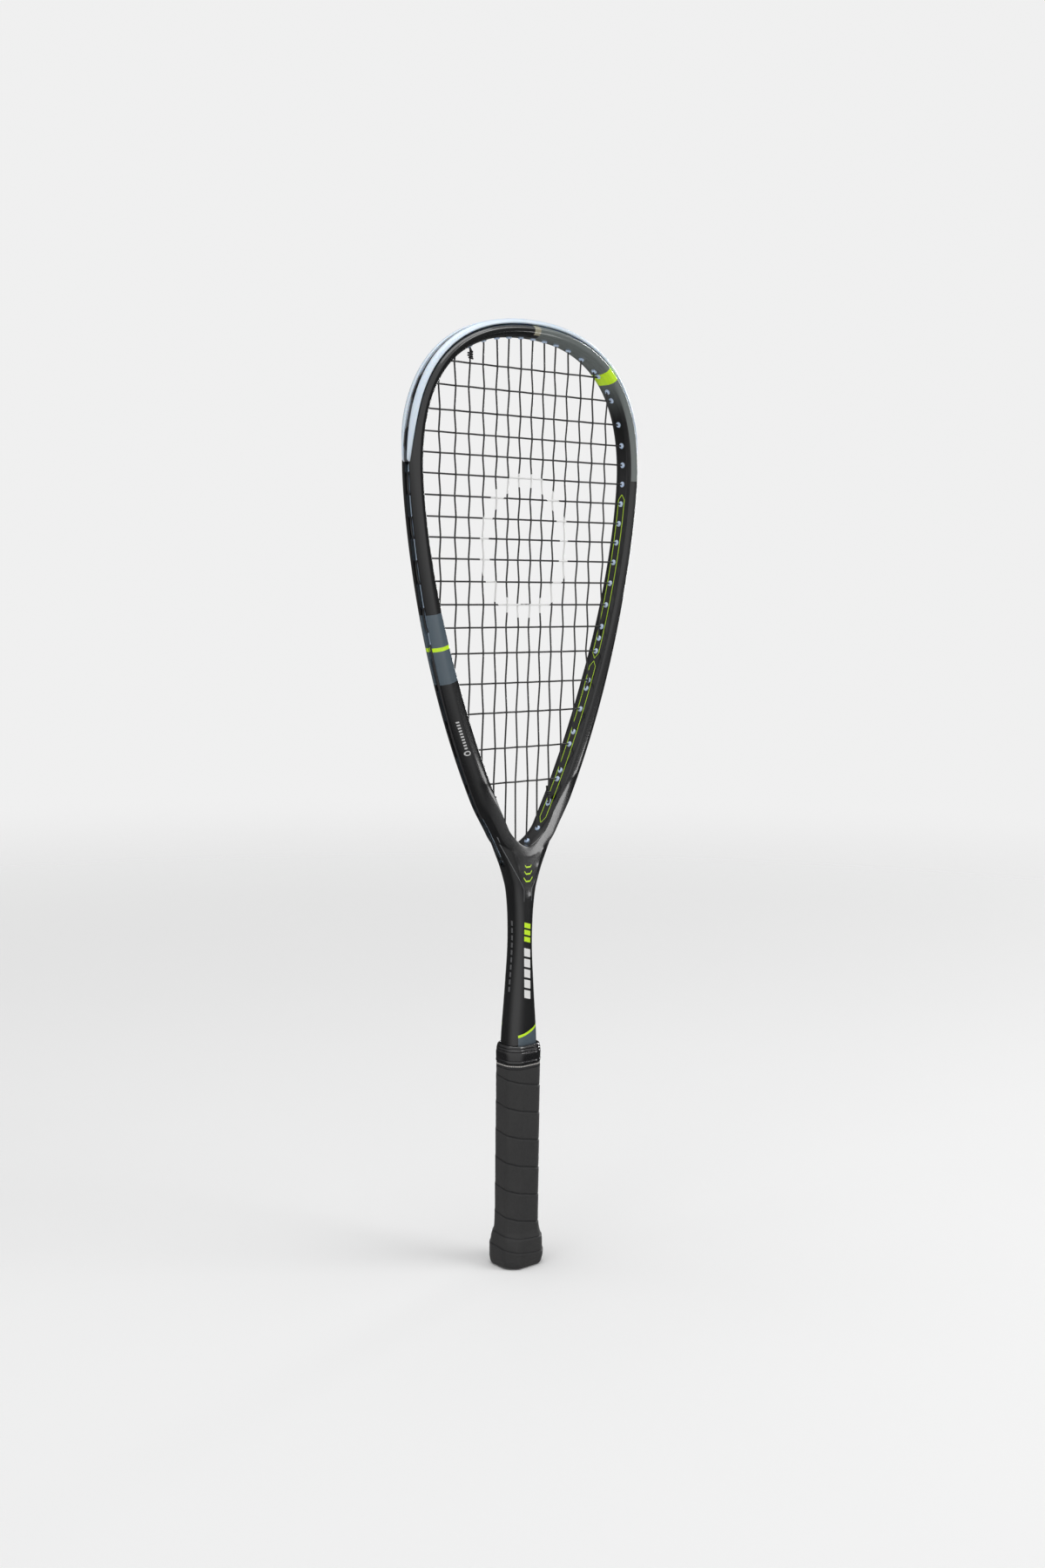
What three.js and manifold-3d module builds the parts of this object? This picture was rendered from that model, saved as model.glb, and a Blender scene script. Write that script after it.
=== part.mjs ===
// A squash racket, standing on its butt end.
//
// Millimetres. X runs across the head, Y through its thickness, Z up the handle to the head.
// The origin is the middle of the flat butt end.
// The head's rim is described by stations along the inner face of the opening, numbered up the right
// side, over the top and down the left side. rim(s, out, y) is the point at station s, `out` outward
// from the inner face and `y` through the thickness, and edge(s, out, y) measures `out` from the beam's
// outer face. Everything on the rim is placed with these two.

import * as THREE from 'three';
import { mergeVertices } from 'three/addons/utils/BufferGeometryUtils.js';
import Module from 'manifold-3d';

const wasm = await Module();
wasm.setup();

// ---- driving dimensions ----

const OPENING_BOTTOM = 313.6;
const OPENING_TOP = 673;
const OPENING_HALF_WIDTH = 96.7;
const WIDEST_Z = 582;
const LEG_FOOT = new THREE.Vector2(18.3, 326.8);
const LEG_ANGLE = 1.06;

// The beam is narrow round the head, widens down the legs between two heights, and narrows again
// where the legs run into the throat.
const BEAM = { head: 9.2, leg: 14, from: 560, to: 335 };
const BEAM_FOOT = { narrower: 2, from: 352, to: 326 };
const GROOVE_FLOOR = -3;
const GROOVE_HALF = 2.3;
const CLEAR = 0.3;

// Half of the beam's section without the groove: outward from the inner face, and through.
const INNER_SECTION = [[0, 4.4], [0.9, 6.9], [2.4, 8.8], [4.4, 9.5]];
// The rest of it: outward as a part of the beam's width, and through.
const OUTER_SECTION = [[0.66, 9.3], [0.87, 6.6], [1, 3.2]];

// height, half width, half depth, corner radius up the shaft and into the throat
const SHAFT_BOTTOM = 8.3;
const SHAFT_RINGS = [
  [SHAFT_BOTTOM, 8.5, 7.5, 3],
  [152.3, 8.5, 7.5, 3],
  [154, 12.9, 10, 5],
  [166, 12.9, 10, 5],
  [178, 12.2, 9.9, 5],
  [191, 11.1, 9.6, 5],
  [204, 10, 9.3, 5],
  [217, 8.9, 9, 4.5],
  [230, 7.9, 8.7, 4.2],
  [243, 7.4, 8.5, 4],
  [255, 7.6, 8.5, 4],
  [268, 8.4, 8.6, 4],
  [281, 10.3, 8.8, 4],
  [290, 13.2, 9, 4],
  [300, 17.4, 9.1, 4],
  [311, 22.9, 9.2, 4],
  [320, 27, 9.1, 4],
  [334, 31, 7.5, 3.5],
];
const SHAFT_BORE = { width: 11, depth: 11, top: 245 };

// strings: mains by their distance from the middle at FAN_Z, crosses by their height
const STRING_RADIUS = 0.62;
const WEAVE = 0.8;
const FAN_Z = 480;
const FAN = 0.203 / 1000;
const MAIN_X = [5.4, 15.9, 26.5, 38, 50.5, 62.7, 76.2];
const CROSS_Z = [
  651.4, 635.3, 618.5, 603.5, 589.5, 575.5, 561, 546.5, 532.5,
  518, 502.5, 486.5, 470.5, 452.5, 431, 410, 384.5, 359.5,
];
const OUTER_MAIN_FOOT_Z = 462;
const STRING_TURN = 1.15;
const LANE = 1.5;
const LANE_RUN = 2.6;

// grommets
const BARREL = 3;
const BARREL_HOLE = 1.9;
const TIE_OFF_EXTRA = 1.8;
const STRIP = { inner: GROOVE_FLOOR + 0.2, outer: GROOVE_FLOOR + 0.8, half: 2 };
const BUMPER_CHANNEL = 0.4;
const BUMPER_HEIGHT = { end: 2, top: 3 };
const BUMPER_CROSSES = 5;

// handle
const PALLET = { halfWidth: 14, halfDepth: 12, bevel: 6.6, bottom: 8, top: 152 };
const GRIP = { bottom: 2.5, top: 150, bevel: 7 };
const COLLAR = { bottom: 153.7, top: 167 };
const STAPLE = { z: 20, crown: 6, wire: 0.7, face: 13.45, leg: 9 };

// ---- solids ----

function solid(geometry) {
  const plain = geometry.clone();
  plain.deleteAttribute('normal');
  plain.deleteAttribute('uv');
  const merged = mergeVertices(plain, 1e-4);
  return new wasm.Manifold(new wasm.Mesh({
    numProp: 3,
    vertProperties: new Float32Array(merged.attributes.position.array),
    triVerts: new Uint32Array(merged.index.array),
  }));
}

function geometryOf(manifold) {
  const mesh = manifold.getMesh();
  const geometry = new THREE.BufferGeometry();
  geometry.setAttribute('position', new THREE.BufferAttribute(new Float32Array(mesh.vertProperties), 3));
  geometry.setIndex(new THREE.BufferAttribute(new Uint32Array(mesh.triVerts), 1));
  return geometry;
}

// A solid through rings of equal point count: a closed chain of rings, or capped at both ends.
function loft(rings, closed = false) {
  const count = rings[0].length;
  const position = rings.flat().flatMap((p) => [p.x, p.y, p.z]);
  const index = [];
  const spans = closed ? rings.length : rings.length - 1;
  for (let i = 0; i < spans; i += 1) {
    const a = i * count;
    const b = ((i + 1) % rings.length) * count;
    for (let j = 0; j < count; j += 1) {
      const k = (j + 1) % count;
      index.push(a + j, a + k, b + k, a + j, b + k, b + j);
    }
  }
  if (!closed) {
    const last = (rings.length - 1) * count;
    for (const [a, b, c] of capTriangles(rings[0])) {
      index.push(c, b, a);
    }
    for (const [a, b, c] of capTriangles(rings.at(-1))) {
      index.push(last + a, last + b, last + c);
    }
  }
  const geometry = new THREE.BufferGeometry();
  geometry.setAttribute('position', new THREE.Float32BufferAttribute(position, 3));
  geometry.setIndex(signedVolume(position, index) < 0 ? index.reverse() : index);
  return geometry;
}

function capTriangles(ring) {
  const centre = ring.reduce((sum, p) => sum.add(p), new THREE.Vector3()).divideScalar(ring.length);
  const normal = new THREE.Vector3();
  ring.forEach((p, i) => {
    const next = ring[(i + 1) % ring.length];
    normal.add(new THREE.Vector3().crossVectors(p.clone().sub(centre), next.clone().sub(centre)));
  });
  normal.normalize();
  const turn = new THREE.Quaternion().setFromUnitVectors(normal, new THREE.Vector3(0, 0, 1));
  const flat = ring.map((p) => p.clone().sub(centre).applyQuaternion(turn));
  return THREE.ShapeUtils.triangulateShape(flat.map((p) => new THREE.Vector2(p.x, p.y)), []);
}

function signedVolume(position, index) {
  const corner = (i) => new THREE.Vector3().fromArray(position, 3 * i);
  let volume = 0;
  for (let i = 0; i < index.length; i += 3) {
    volume += corner(index[i]).dot(corner(index[i + 1]).cross(corner(index[i + 2])));
  }
  return volume;
}

// ---- the rim's stations ----

function openingCurves() {
  const at = (x, z) => new THREE.Vector2(x, z);
  const leg = at(Math.cos(LEG_ANGLE), Math.sin(LEG_ANGLE));
  const alongLeg = (distance) => LEG_FOOT.clone().addScaledVector(leg, distance);
  const widest = at(OPENING_HALF_WIDTH, WIDEST_Z);
  const top = at(0, OPENING_TOP);
  const round = [at(0, OPENING_BOTTOM), at(6, OPENING_BOTTOM), alongLeg(-5.4), LEG_FOOT];
  const side = [LEG_FOOT, alongLeg(140.5), at(OPENING_HALF_WIDTH, 559.5), widest];
  const head = [widest, at(OPENING_HALF_WIDTH, 639), at(67, OPENING_TOP), top];
  return [[round, 4], [side, 18], [head, 14]].map(([points, steps]) => (
    { curve: new THREE.CubicBezierCurve(...points), steps }
  ));
}

function rightStations() {
  const stations = [];
  for (const { curve, steps } of openingCurves()) {
    for (let i = stations.length ? 1 : 0; i <= steps; i += 1) {
      const point = curve.getPointAt(i / steps);
      const along = curve.getTangentAt(i / steps);
      stations.push({ point, out: new THREE.Vector2(along.y, -along.x) });
    }
  }
  return stations;
}

const RIGHT = rightStations();
const TOP = RIGHT.length - 1;
const FOOT = 4;
const WIDEST = FOOT + 18;
const mirrored = ({ point, out }) => ({
  point: new THREE.Vector2(-point.x, point.y),
  out: new THREE.Vector2(-out.x, out.y),
});
const STATIONS = [...RIGHT, ...RIGHT.slice(1, -1).reverse().map(mirrored)];
const opposite = (s) => 2 * TOP - s;

function rim(s, out, y, shift = 0) {
  const wrapped = ((s % STATIONS.length) + STATIONS.length) % STATIONS.length;
  const i = Math.floor(wrapped);
  const a = STATIONS[i];
  const b = STATIONS[(i + 1) % STATIONS.length];
  const point = a.point.clone().lerp(b.point, wrapped - i);
  const outward = a.out.clone().lerp(b.out, wrapped - i);
  const along = b.point.clone().sub(a.point).normalize();
  point.addScaledVector(outward, out).addScaledVector(along, shift);
  return new THREE.Vector3(point.x, y, point.y);
}

function beam(s) {
  const { z } = rim(s, 0, 0);
  const along = THREE.MathUtils.smoothstep(z, BEAM.to, BEAM.from);
  const foot = 1 - THREE.MathUtils.smoothstep(z, BEAM_FOOT.to, BEAM_FOOT.from);
  return THREE.MathUtils.lerp(BEAM.leg, BEAM.head, along) - BEAM_FOOT.narrower * foot;
}

function edge(s, out, y, shift = 0) {
  return rim(s, beam(s) + out, y, shift);
}

// Stations to step through from s1 to s2, both included.
function stationsBetween(s1, s2) {
  const inner = [];
  for (let s = Math.ceil(Math.min(s1, s2) + 0.05); s < Math.max(s1, s2) - 0.05; s += 1) {
    inner.push(s);
  }
  return [s1, ...(s1 < s2 ? inner : inner.reverse()), s2];
}

// A number of stations that spans `distance` millimetres near s.
function stationsFor(distance, s) {
  return distance / rim(Math.floor(s), 0, 0).distanceTo(rim(Math.floor(s) + 1, 0, 0));
}

function edgeRings(s1, s2, section) {
  return stationsBetween(s1, s2).map((s) => section.map(([out, y]) => edge(s, out, y)));
}

// The station between `from` and `to` where `miss` of the string's turning point changes sign.
function findStation(miss, from, to) {
  const value = (s) => miss(rim(s, -STRING_TURN, 0));
  let low = from;
  let high = to;
  for (let i = 0; i < 40; i += 1) {
    const middle = (low + high) / 2;
    if (value(middle) * value(low) > 0) {
      low = middle;
    } else {
      high = middle;
    }
  }
  return (low + high) / 2;
}

// ---- the string plan ----

const mainX = (x, z) => x * (1 + FAN * (z - FAN_Z));

// Main strings 1 to 14 from left to right, with the station of each end.
const MAINS = [...MAIN_X.slice().reverse().map((x) => -x), ...MAIN_X].map((x, i) => {
  const miss = (p) => p.x - mainX(Math.abs(x), p.z);
  const outermost = Math.abs(x) === MAIN_X.at(-1);
  const bottom = findStation(outermost ? (p) => p.z - OUTER_MAIN_FOOT_Z : miss, 0, WIDEST);
  const top = findStation(miss, WIDEST, TOP);
  const place = (s) => (x < 0 ? opposite(s) : s);
  return { number: i + 1, x, bottom: place(bottom), top: place(top) };
});

const CROSSES = CROSS_Z.map((z, i) => {
  const right = findStation((p) => p.z - z, 0, TOP);
  return { number: i + 1, z, right, left: opposite(right) };
});

const mainNumber = (number) => MAINS[number - 1];
const crossNumber = (number) => CROSSES[number - 1];

// Holes that a tied-off end shares with a main string: where, and the side of the hole that each takes.
const TIE_OFFS = [
  { at: 'top', main: 3, own: -0.9 },
  { at: 'bottom', main: 4, own: -0.9 },
  { at: 'bottom', main: 5, own: -0.9 },
  { at: 'bottom', main: 10, own: 0.9 },
];
const tieOff = (main, at) => TIE_OFFS.find((t) => t.main === main.number && t.at === at);
const ownShift = (main, at) => tieOff(main, at)?.own ?? 0;

const THROAT_MAINS = [6, 7, 8, 9];
const SIDE_MAINS = [1, 2, 3, 4, 5, 10, 11, 12, 13, 14];

// Level that a loop of string runs at outside the rim.
const BUMPER_LEVEL = BUMPER_CHANNEL + 0.25 + STRING_RADIUS;
const STRIP_LEVEL = STRIP.outer + 0.25 + STRING_RADIUS;
const underBumper = (s) => s > WIDEST - 0.05 && s < opposite(WIDEST) + 0.05;
const level = (s) => (underBumper(s) ? BUMPER_LEVEL : STRIP_LEVEL);

// Where a main passes a cross. Beside the rim the cross runs straight into its hole, and the main
// bends clear of it.
function crossing(main, cross) {
  const over = (main.number + cross.number) % 2 ? 1 : -1;
  const x = mainX(main.x, cross.z);
  const reach = rim(cross.right, -STRING_TURN, 0).x;
  const besideRim = Math.abs(x) > reach - 2;
  const point = new THREE.Vector3(besideRim ? Math.sign(x) * (reach - 0.3) : x, over * WEAVE, cross.z);
  return { besideRim, main: besideRim ? point.setY(over * LANE) : point };
}

// Where the two middle mains leave the throat, in the side grooves below the foot of each leg.
const GROOVE_TAIL = [new THREE.Vector2(16, 298), new THREE.Vector2(23.4, 311.5)];
const LEG_OUT = new THREE.Vector2(Math.sin(LEG_ANGLE), -Math.cos(LEG_ANGLE));
const THROAT_EXIT_ALONG = 0.35;

function grooveTail(along, out, y, side) {
  const point = GROOVE_TAIL[0].clone().lerp(GROOVE_TAIL[1], along).addScaledVector(LEG_OUT, out);
  return new THREE.Vector3(side * point.x, y, point.y);
}

function bottomTurn(main) {
  return rim(main.bottom, -STRING_TURN, 0, ownShift(main, 'bottom'));
}

function topTurn(main) {
  return rim(main.top, -STRING_TURN, 0, ownShift(main, 'top'));
}

// One main across the bed, from its top turn to its bottom turn.
function mainRun(main) {
  const high = topTurn(main);
  const low = bottomTurn(main);
  const crossed = CROSSES.filter((cross) => cross.z < high.z - 2 && cross.z > low.z + 2);
  return [high, ...crossed.map((cross) => crossing(main, cross).main), low];
}

// One cross over the bed, from its left turn to its right turn.
function crossRun(cross) {
  const left = rim(cross.left, -STRING_TURN, 0);
  const right = rim(cross.right, -STRING_TURN, 0);
  const crossed = MAINS.filter((main) => (
    topTurn(main).z > cross.z + 2 && bottomTurn(main).z < cross.z - 2 && !crossing(main, cross).besideRim
  ));
  const inner = crossed.map((main) => {
    const point = crossing(main, cross).main;
    return point.setY(-point.y);
  });
  return [left, ...inner, right];
}

// A loop outside the rim between two holes, in the lane at `lane`.
function rimLoop(s1, s2, lane, shift1 = 0, shift2 = 0) {
  const way = Math.sign(s2 - s1);
  const start = s1 + way * stationsFor(LANE_RUN, s1);
  const end = s2 - way * stationsFor(LANE_RUN, s2);
  const middle = stationsBetween(start, end).map((s) => edge(s, level(s), lane));
  const aside = (s, shift) => (shift ? [edge(s, level(s), lane, shift)] : []);
  return [
    edge(s1, level(s1), 0, shift1),
    ...aside(s1, shift1),
    ...middle,
    ...aside(s2, shift2),
    edge(s2, level(s2), 0, shift2),
  ];
}

// The loop from a middle main, out of the throat's side, to the next main.
function throatLoop(middle, next) {
  const side = Math.sign(middle.x);
  const exit = grooveTail(THROAT_EXIT_ALONG, STRIP_LEVEL, 0, side);
  const high = grooveTail(THROAT_EXIT_ALONG + 0.3, STRIP_LEVEL, -LANE, side);
  const turn = grooveTail(1, STRIP_LEVEL, -LANE, side);
  return [exit, high, turn, edge(next.bottom, STRIP_LEVEL, 0)];
}

// From a hole beside a main, two and a half turns around it and a short free end.
function knot(main, at, tailShift) {
  const s = main[at];
  const run = mainRun(main);
  const [turn, first] = at === 'top' ? run : run.reverse();
  const axis = first.clone().sub(turn).normalize();
  const side = new THREE.Vector3().crossVectors(axis, new THREE.Vector3(0, 1, 0));
  const radius = 2 * STRING_RADIUS + 0.28;
  const points = [rim(s, -STRING_TURN, 0, tailShift), rim(s, -STRING_TURN, -LANE, tailShift)];
  const turns = 2.5;
  const steps = 20;
  for (let i = 0; i <= steps; i += 1) {
    const angle = (2 * Math.PI * turns * i) / steps;
    const centre = turn.clone().addScaledVector(axis, 3.2 + 1.6 * turns * (i / steps));
    centre.addScaledVector(side, radius * Math.sin(angle));
    centre.y -= radius * Math.cos(angle);
    points.push(centre);
  }
  points.push(points.at(-1).clone().addScaledVector(side, -2.5).addScaledVector(axis, 2));
  return points;
}

// The tail of the outermost main: over the other loops to its tie-off hole, then the knot.
function mainTail(from, to) {
  const second = STRIP_LEVEL + 2 * STRING_RADIUS + 0.26;
  const way = Math.sign(to.bottom - from.bottom);
  const start = from.bottom + way * stationsFor(LANE_RUN, from.bottom);
  const tailShift = -ownShift(to, 'bottom');
  const run = stationsBetween(start, to.bottom).map((s) => edge(s, second, -LANE));
  run.pop();
  return [
    ...run,
    edge(to.bottom, second, -LANE, tailShift),
    edge(to.bottom, STRIP_LEVEL, 0, tailShift),
    ...knot(to, 'bottom', tailShift),
  ];
}

function outerTurn(main, at) {
  return edge(main[at], level(main[at]), 0, ownShift(main, at));
}

// Half of the main string, from its middle at the top of the head to one outermost main.
function mainHalf(order, tieMain) {
  const points = [];
  order.forEach((number, i) => {
    const main = mainNumber(number);
    const next = mainNumber(order[i + 1] ?? number);
    const down = i % 2 === 0;
    const run = mainRun(main);
    points.push(...(down ? run : run.reverse()));
    if (number === next.number) {
      points.push(outerTurn(main, 'bottom'), ...mainTail(main, mainNumber(tieMain)));
    } else if (down && i === 0) {
      points.push(...throatLoop(main, next));
    } else if (down) {
      points.push(...rimLoop(
        main.bottom, next.bottom, -LANE, ownShift(main, 'bottom'), ownShift(next, 'bottom'),
      ));
    } else {
      points.push(...rimLoop(main.top, next.top, -LANE, ownShift(main, 'top'), ownShift(next, 'top')));
    }
  });
  return points;
}

function mainStringPoints() {
  const left = mainHalf([7, 6, 5, 4, 3, 2, 1], 5);
  const right = mainHalf([8, 9, 10, 11, 12, 13, 14], 10);
  const middle = rimLoop(mainNumber(7).top, mainNumber(8).top, -LANE);
  return [...left.reverse(), ...middle, ...right];
}

function crossStringPoints() {
  const first = crossNumber(1);
  const last = crossNumber(CROSSES.length);
  const startMain = mainNumber(3);
  const endMain = mainNumber(4);
  const startShift = -ownShift(startMain, 'top');
  const endShift = -ownShift(endMain, 'bottom');
  const points = [
    ...knot(startMain, 'top', startShift).reverse(),
    edge(startMain.top, BUMPER_LEVEL, 0, startShift),
    ...rimLoop(startMain.top, first.left, LANE).slice(1),
  ];
  CROSSES.forEach((cross, i) => {
    const rightward = i % 2 === 0;
    const run = crossRun(cross);
    points.push(...(rightward ? run : run.reverse()));
    const next = CROSSES[i + 1];
    const side = rightward ? 'right' : 'left';
    if (next) {
      points.push(...rimLoop(cross[side], next[side], LANE));
    }
  });
  points.push(
    edge(last.left, STRIP_LEVEL, 0),
    edge(last.left - stationsFor(LANE_RUN, last.left), STRIP_LEVEL, LANE),
    edge(endMain.bottom, STRIP_LEVEL, LANE, endShift),
    edge(endMain.bottom, STRIP_LEVEL, 0, endShift),
    ...knot(endMain, 'bottom', endShift),
  );
  return points;
}

// A path straight from point to point, sampled at its points.
class StringPath extends THREE.Curve {
  constructor(points) {
    super();
    this.points = points;
  }

  getPoint(t, target = new THREE.Vector3()) {
    const place = t * (this.points.length - 1);
    const i = Math.min(Math.floor(place + 1e-9), this.points.length - 2);
    return target.copy(this.points[i]).lerp(this.points[i + 1], place - i);
  }

  getPointAt(u, target) {
    return this.getPoint(u, target);
  }

  getTangentAt(u, target = new THREE.Vector3()) {
    const i = Math.round(u * (this.points.length - 1));
    const here = this.points[i];
    const before = here.clone().sub(this.points[Math.max(i - 1, 0)]).normalize();
    const after = (this.points[i + 1] ?? here).clone().sub(here).normalize();
    return target.copy(before).add(after).normalize();
  }
}

function stringGeometry(points) {
  const section = new THREE.Shape();
  const sides = 5;
  for (let i = 0; i < sides; i += 1) {
    const angle = (2 * Math.PI * i) / sides;
    const x = STRING_RADIUS * Math.cos(angle);
    const y = STRING_RADIUS * Math.sin(angle);
    if (i) {
      section.lineTo(x, y);
    } else {
      section.moveTo(x, y);
    }
  }
  const path = new StringPath(points);
  return new THREE.ExtrudeGeometry(section, { steps: points.length - 1, extrudePath: path });
}

// ---- frame ----

const bothHalves = (half) => [...half, ...half.slice().reverse().map(([out, y]) => [out, -y])];

function roundedRing(z, halfWidth, halfDepth, radius) {
  const ring = [];
  const corners = [[1, 1], [-1, 1], [-1, -1], [1, -1]];
  corners.forEach(([sx, sy], quarter) => {
    for (let i = 0; i <= 3; i += 1) {
      const angle = (Math.PI / 2) * (quarter + i / 3);
      const x = sx * (halfWidth - radius) + radius * Math.cos(angle);
      const y = sy * (halfDepth - radius) + radius * Math.sin(angle);
      ring.push(new THREE.Vector3(x, y, z));
    }
  });
  return ring;
}

// A box along a hole's axis from `from` to `to`, `across` wide and `along` long on the rim.
function holeBox(from, to, across, along) {
  const axis = to.clone().sub(from);
  const geometry = new THREE.BoxGeometry(axis.length(), across, along);
  geometry.applyQuaternion(new THREE.Quaternion().setFromUnitVectors(
    new THREE.Vector3(1, 0, 0), axis.clone().normalize(),
  ));
  const middle = from.clone().add(to).divideScalar(2);
  geometry.translate(middle.x, middle.y, middle.z);
  return solid(geometry);
}

// Every hole through the rim: its station, and its extra length where an end is tied off.
function rimHoles() {
  const holes = [];
  for (const cross of CROSSES) {
    const inBumper = cross.number <= BUMPER_CROSSES;
    holes.push({ s: cross.right, extra: 0, inBumper }, { s: cross.left, extra: 0, inBumper });
  }
  for (const main of MAINS) {
    holes.push({ s: main.top, extra: tieOff(main, 'top') ? TIE_OFF_EXTRA : 0, inBumper: true });
  }
  for (const number of SIDE_MAINS) {
    const main = mainNumber(number);
    const extra = tieOff(main, 'bottom') ? TIE_OFF_EXTRA : 0;
    holes.push({ s: main.bottom, extra, inBumper: false });
  }
  return holes;
}

// The four tunnels through the throat, from the opening to the side grooves.
function throatTunnels() {
  return THROAT_MAINS.map((number) => {
    const main = mainNumber(number);
    const middle = number === 7 || number === 8;
    const outer = middle
      ? grooveTail(THROAT_EXIT_ALONG, GROOVE_FLOOR, 0, Math.sign(main.x))
      : edge(main.bottom, GROOVE_FLOOR, 0);
    const turn = bottomTurn(main);
    return { turn, outer, way: outer.clone().sub(turn).normalize() };
  });
}

function grooveCutter() {
  const section = [
    [GROOVE_FLOOR, -GROOVE_HALF],
    [3, -GROOVE_HALF],
    [3, GROOVE_HALF],
    [GROOVE_FLOOR, GROOVE_HALF],
  ];
  const tail = (side) => [0, 1].map((along) => section.map(([out, y]) => grooveTail(along, out, y, side)));
  return loft([...tail(1), ...edgeRings(FOOT, opposite(FOOT), section), ...tail(-1).reverse()]);
}

function beamRing(s) {
  const outer = OUTER_SECTION.map(([part, y]) => [part * beam(s), y]);
  return bothHalves([...INNER_SECTION, ...outer]).map(([out, y]) => rim(s, out, y));
}

function frameGeometry() {
  const hoop = solid(loft(STATIONS.map((_, s) => beamRing(s)), true));
  const opening = solid(loft([-12, 12].map((y) => STATIONS.map((_, s) => rim(s, 3.3, y)))));
  const shaft = solid(loft(SHAFT_RINGS.map((ring) => roundedRing(...ring)))).subtract(opening);
  const bore = new THREE.BoxGeometry(SHAFT_BORE.width, SHAFT_BORE.depth, SHAFT_BORE.top);
  bore.translate(0, 0, SHAFT_BORE.top / 2);
  let frame = hoop.add(shaft).subtract(solid(bore)).subtract(solid(grooveCutter()));
  const width = BARREL + 2 * CLEAR;
  for (const { s, extra } of rimHoles()) {
    frame = frame.subtract(holeBox(rim(s, -3, 0), edge(s, 0, 0), width, width + extra));
  }
  for (const { turn, outer, way } of throatTunnels()) {
    const end = outer.clone().addScaledVector(way, 5);
    frame = frame.subtract(holeBox(turn.clone().addScaledVector(way, -2), end, width, width));
  }
  return geometryOf(frame);
}

// ---- grommets ----

// A band along the groove with a barrel through the frame at each hole.
function withBarrels(band, holes) {
  let result = band;
  for (const { s, extra } of holes) {
    result = result.add(holeBox(rim(s, -CLEAR, 0), edge(s, STRIP.inner + 0.1, 0), BARREL, BARREL + extra));
  }
  for (const { s, extra } of holes) {
    const hole = holeBox(rim(s, -3, 0), edge(s, 6, 0), BARREL_HOLE, BARREL_HOLE + extra);
    result = result.subtract(hole);
  }
  return geometryOf(result);
}

// The bumper's section at station s: a rib in the groove, a channel for the string and two lobes,
// which are highest over the top of the head.
function bumperRing(s) {
  const along = Math.abs(s - TOP) / (TOP - WIDEST);
  const height = THREE.MathUtils.lerp(BUMPER_HEIGHT.top, BUMPER_HEIGHT.end, along * along);
  const half = [
    [STRIP.inner, 2],
    [CLEAR, 2],
    [CLEAR, 3.3],
    [-0.8, 6.9],
    [0, 7.6],
    [height - 1, 6.6],
    [height, 4.4],
    [height, 2.9],
    [height - 0.4, 2.3],
    [BUMPER_CHANNEL, 2.3],
  ];
  return bothHalves(half).map(([out, y]) => edge(s, out, y));
}

function bumperGeometry() {
  const band = solid(loft(stationsBetween(WIDEST, opposite(WIDEST)).map(bumperRing)));
  return withBarrels(band, rimHoles().filter((hole) => hole.inBumper));
}

function stripGeometry(side) {
  const holes = rimHoles().filter((hole) => !hole.inBumper && (side > 0 ? hole.s < TOP : hole.s > TOP));
  const place = (s) => (side > 0 ? s : opposite(s));
  const lowest = mainNumber(10).bottom - stationsFor(6, mainNumber(10).bottom);
  const section = bothHalves([[STRIP.inner, STRIP.half], [STRIP.outer, STRIP.half]]);
  const highest = WIDEST - stationsFor(0.5, WIDEST - 1);
  return withBarrels(solid(loft(edgeRings(place(lowest), place(highest), section))), holes);
}

function throatGrommetGeometry({ turn, outer, way }) {
  const start = turn.clone().addScaledVector(way, STRING_TURN - CLEAR);
  const end = outer.clone().addScaledVector(way, -0.4);
  const beyond = end.clone().addScaledVector(way, 3);
  const hole = holeBox(turn.clone().addScaledVector(way, -3), beyond, BARREL_HOLE, BARREL_HOLE);
  return geometryOf(holeBox(start, end, BARREL, BARREL).subtract(hole));
}

// ---- handle ----

function octagonRing(z, halfWidth, halfDepth, bevel) {
  const quarter = [[halfWidth, halfDepth - bevel], [halfWidth - bevel, halfDepth]];
  const back = [...quarter, ...quarter.slice().reverse().map(([x, y]) => [-x, y])];
  const ring = [...back, ...back.map(([x, y]) => [-x, -y])];
  return ring.map(([x, y]) => new THREE.Vector3(x, y, z));
}

// A sleeve between an outer and an inner stack of octagon rings, both listed from the bottom up.
function sleeve(outer, inner) {
  const rings = [...outer, ...inner.slice().reverse()].map((ring) => octagonRing(...ring));
  return loft(rings, true);
}

function staplePrism(grow) {
  const { crown, wire, face, leg } = STAPLE;
  const half = crown / 2 + grow;
  const inner = crown / 2 - wire - grow;
  const shape = new THREE.Shape();
  shape.moveTo(-half, leg - grow);
  shape.lineTo(-half, face + grow);
  shape.lineTo(half, face + grow);
  shape.lineTo(half, leg - grow);
  shape.lineTo(inner, leg - grow);
  shape.lineTo(inner, face - wire - grow);
  shape.lineTo(-inner, face - wire - grow);
  shape.lineTo(-inner, leg - grow);
  const depth = wire + 2 * grow;
  const geometry = new THREE.ExtrudeGeometry(shape, { depth, bevelEnabled: false });
  geometry.translate(0, 0, STAPLE.z - depth / 2);
  return geometry;
}

// The four staples: two through the back face of the cap and two through the front.
const STAPLE_PLACES = [[4, 0], [-4, 0], [4, Math.PI], [-4, Math.PI]];

function placedStaple([x, turn], grow = 0) {
  const geometry = staplePrism(grow);
  geometry.translate(x, 0, 0);
  geometry.rotateZ(turn);
  return geometry;
}

function cutStaples(manifold) {
  return STAPLE_PLACES.reduce((rest, place) => rest.subtract(solid(placedStaple(place, CLEAR))), manifold);
}

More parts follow.
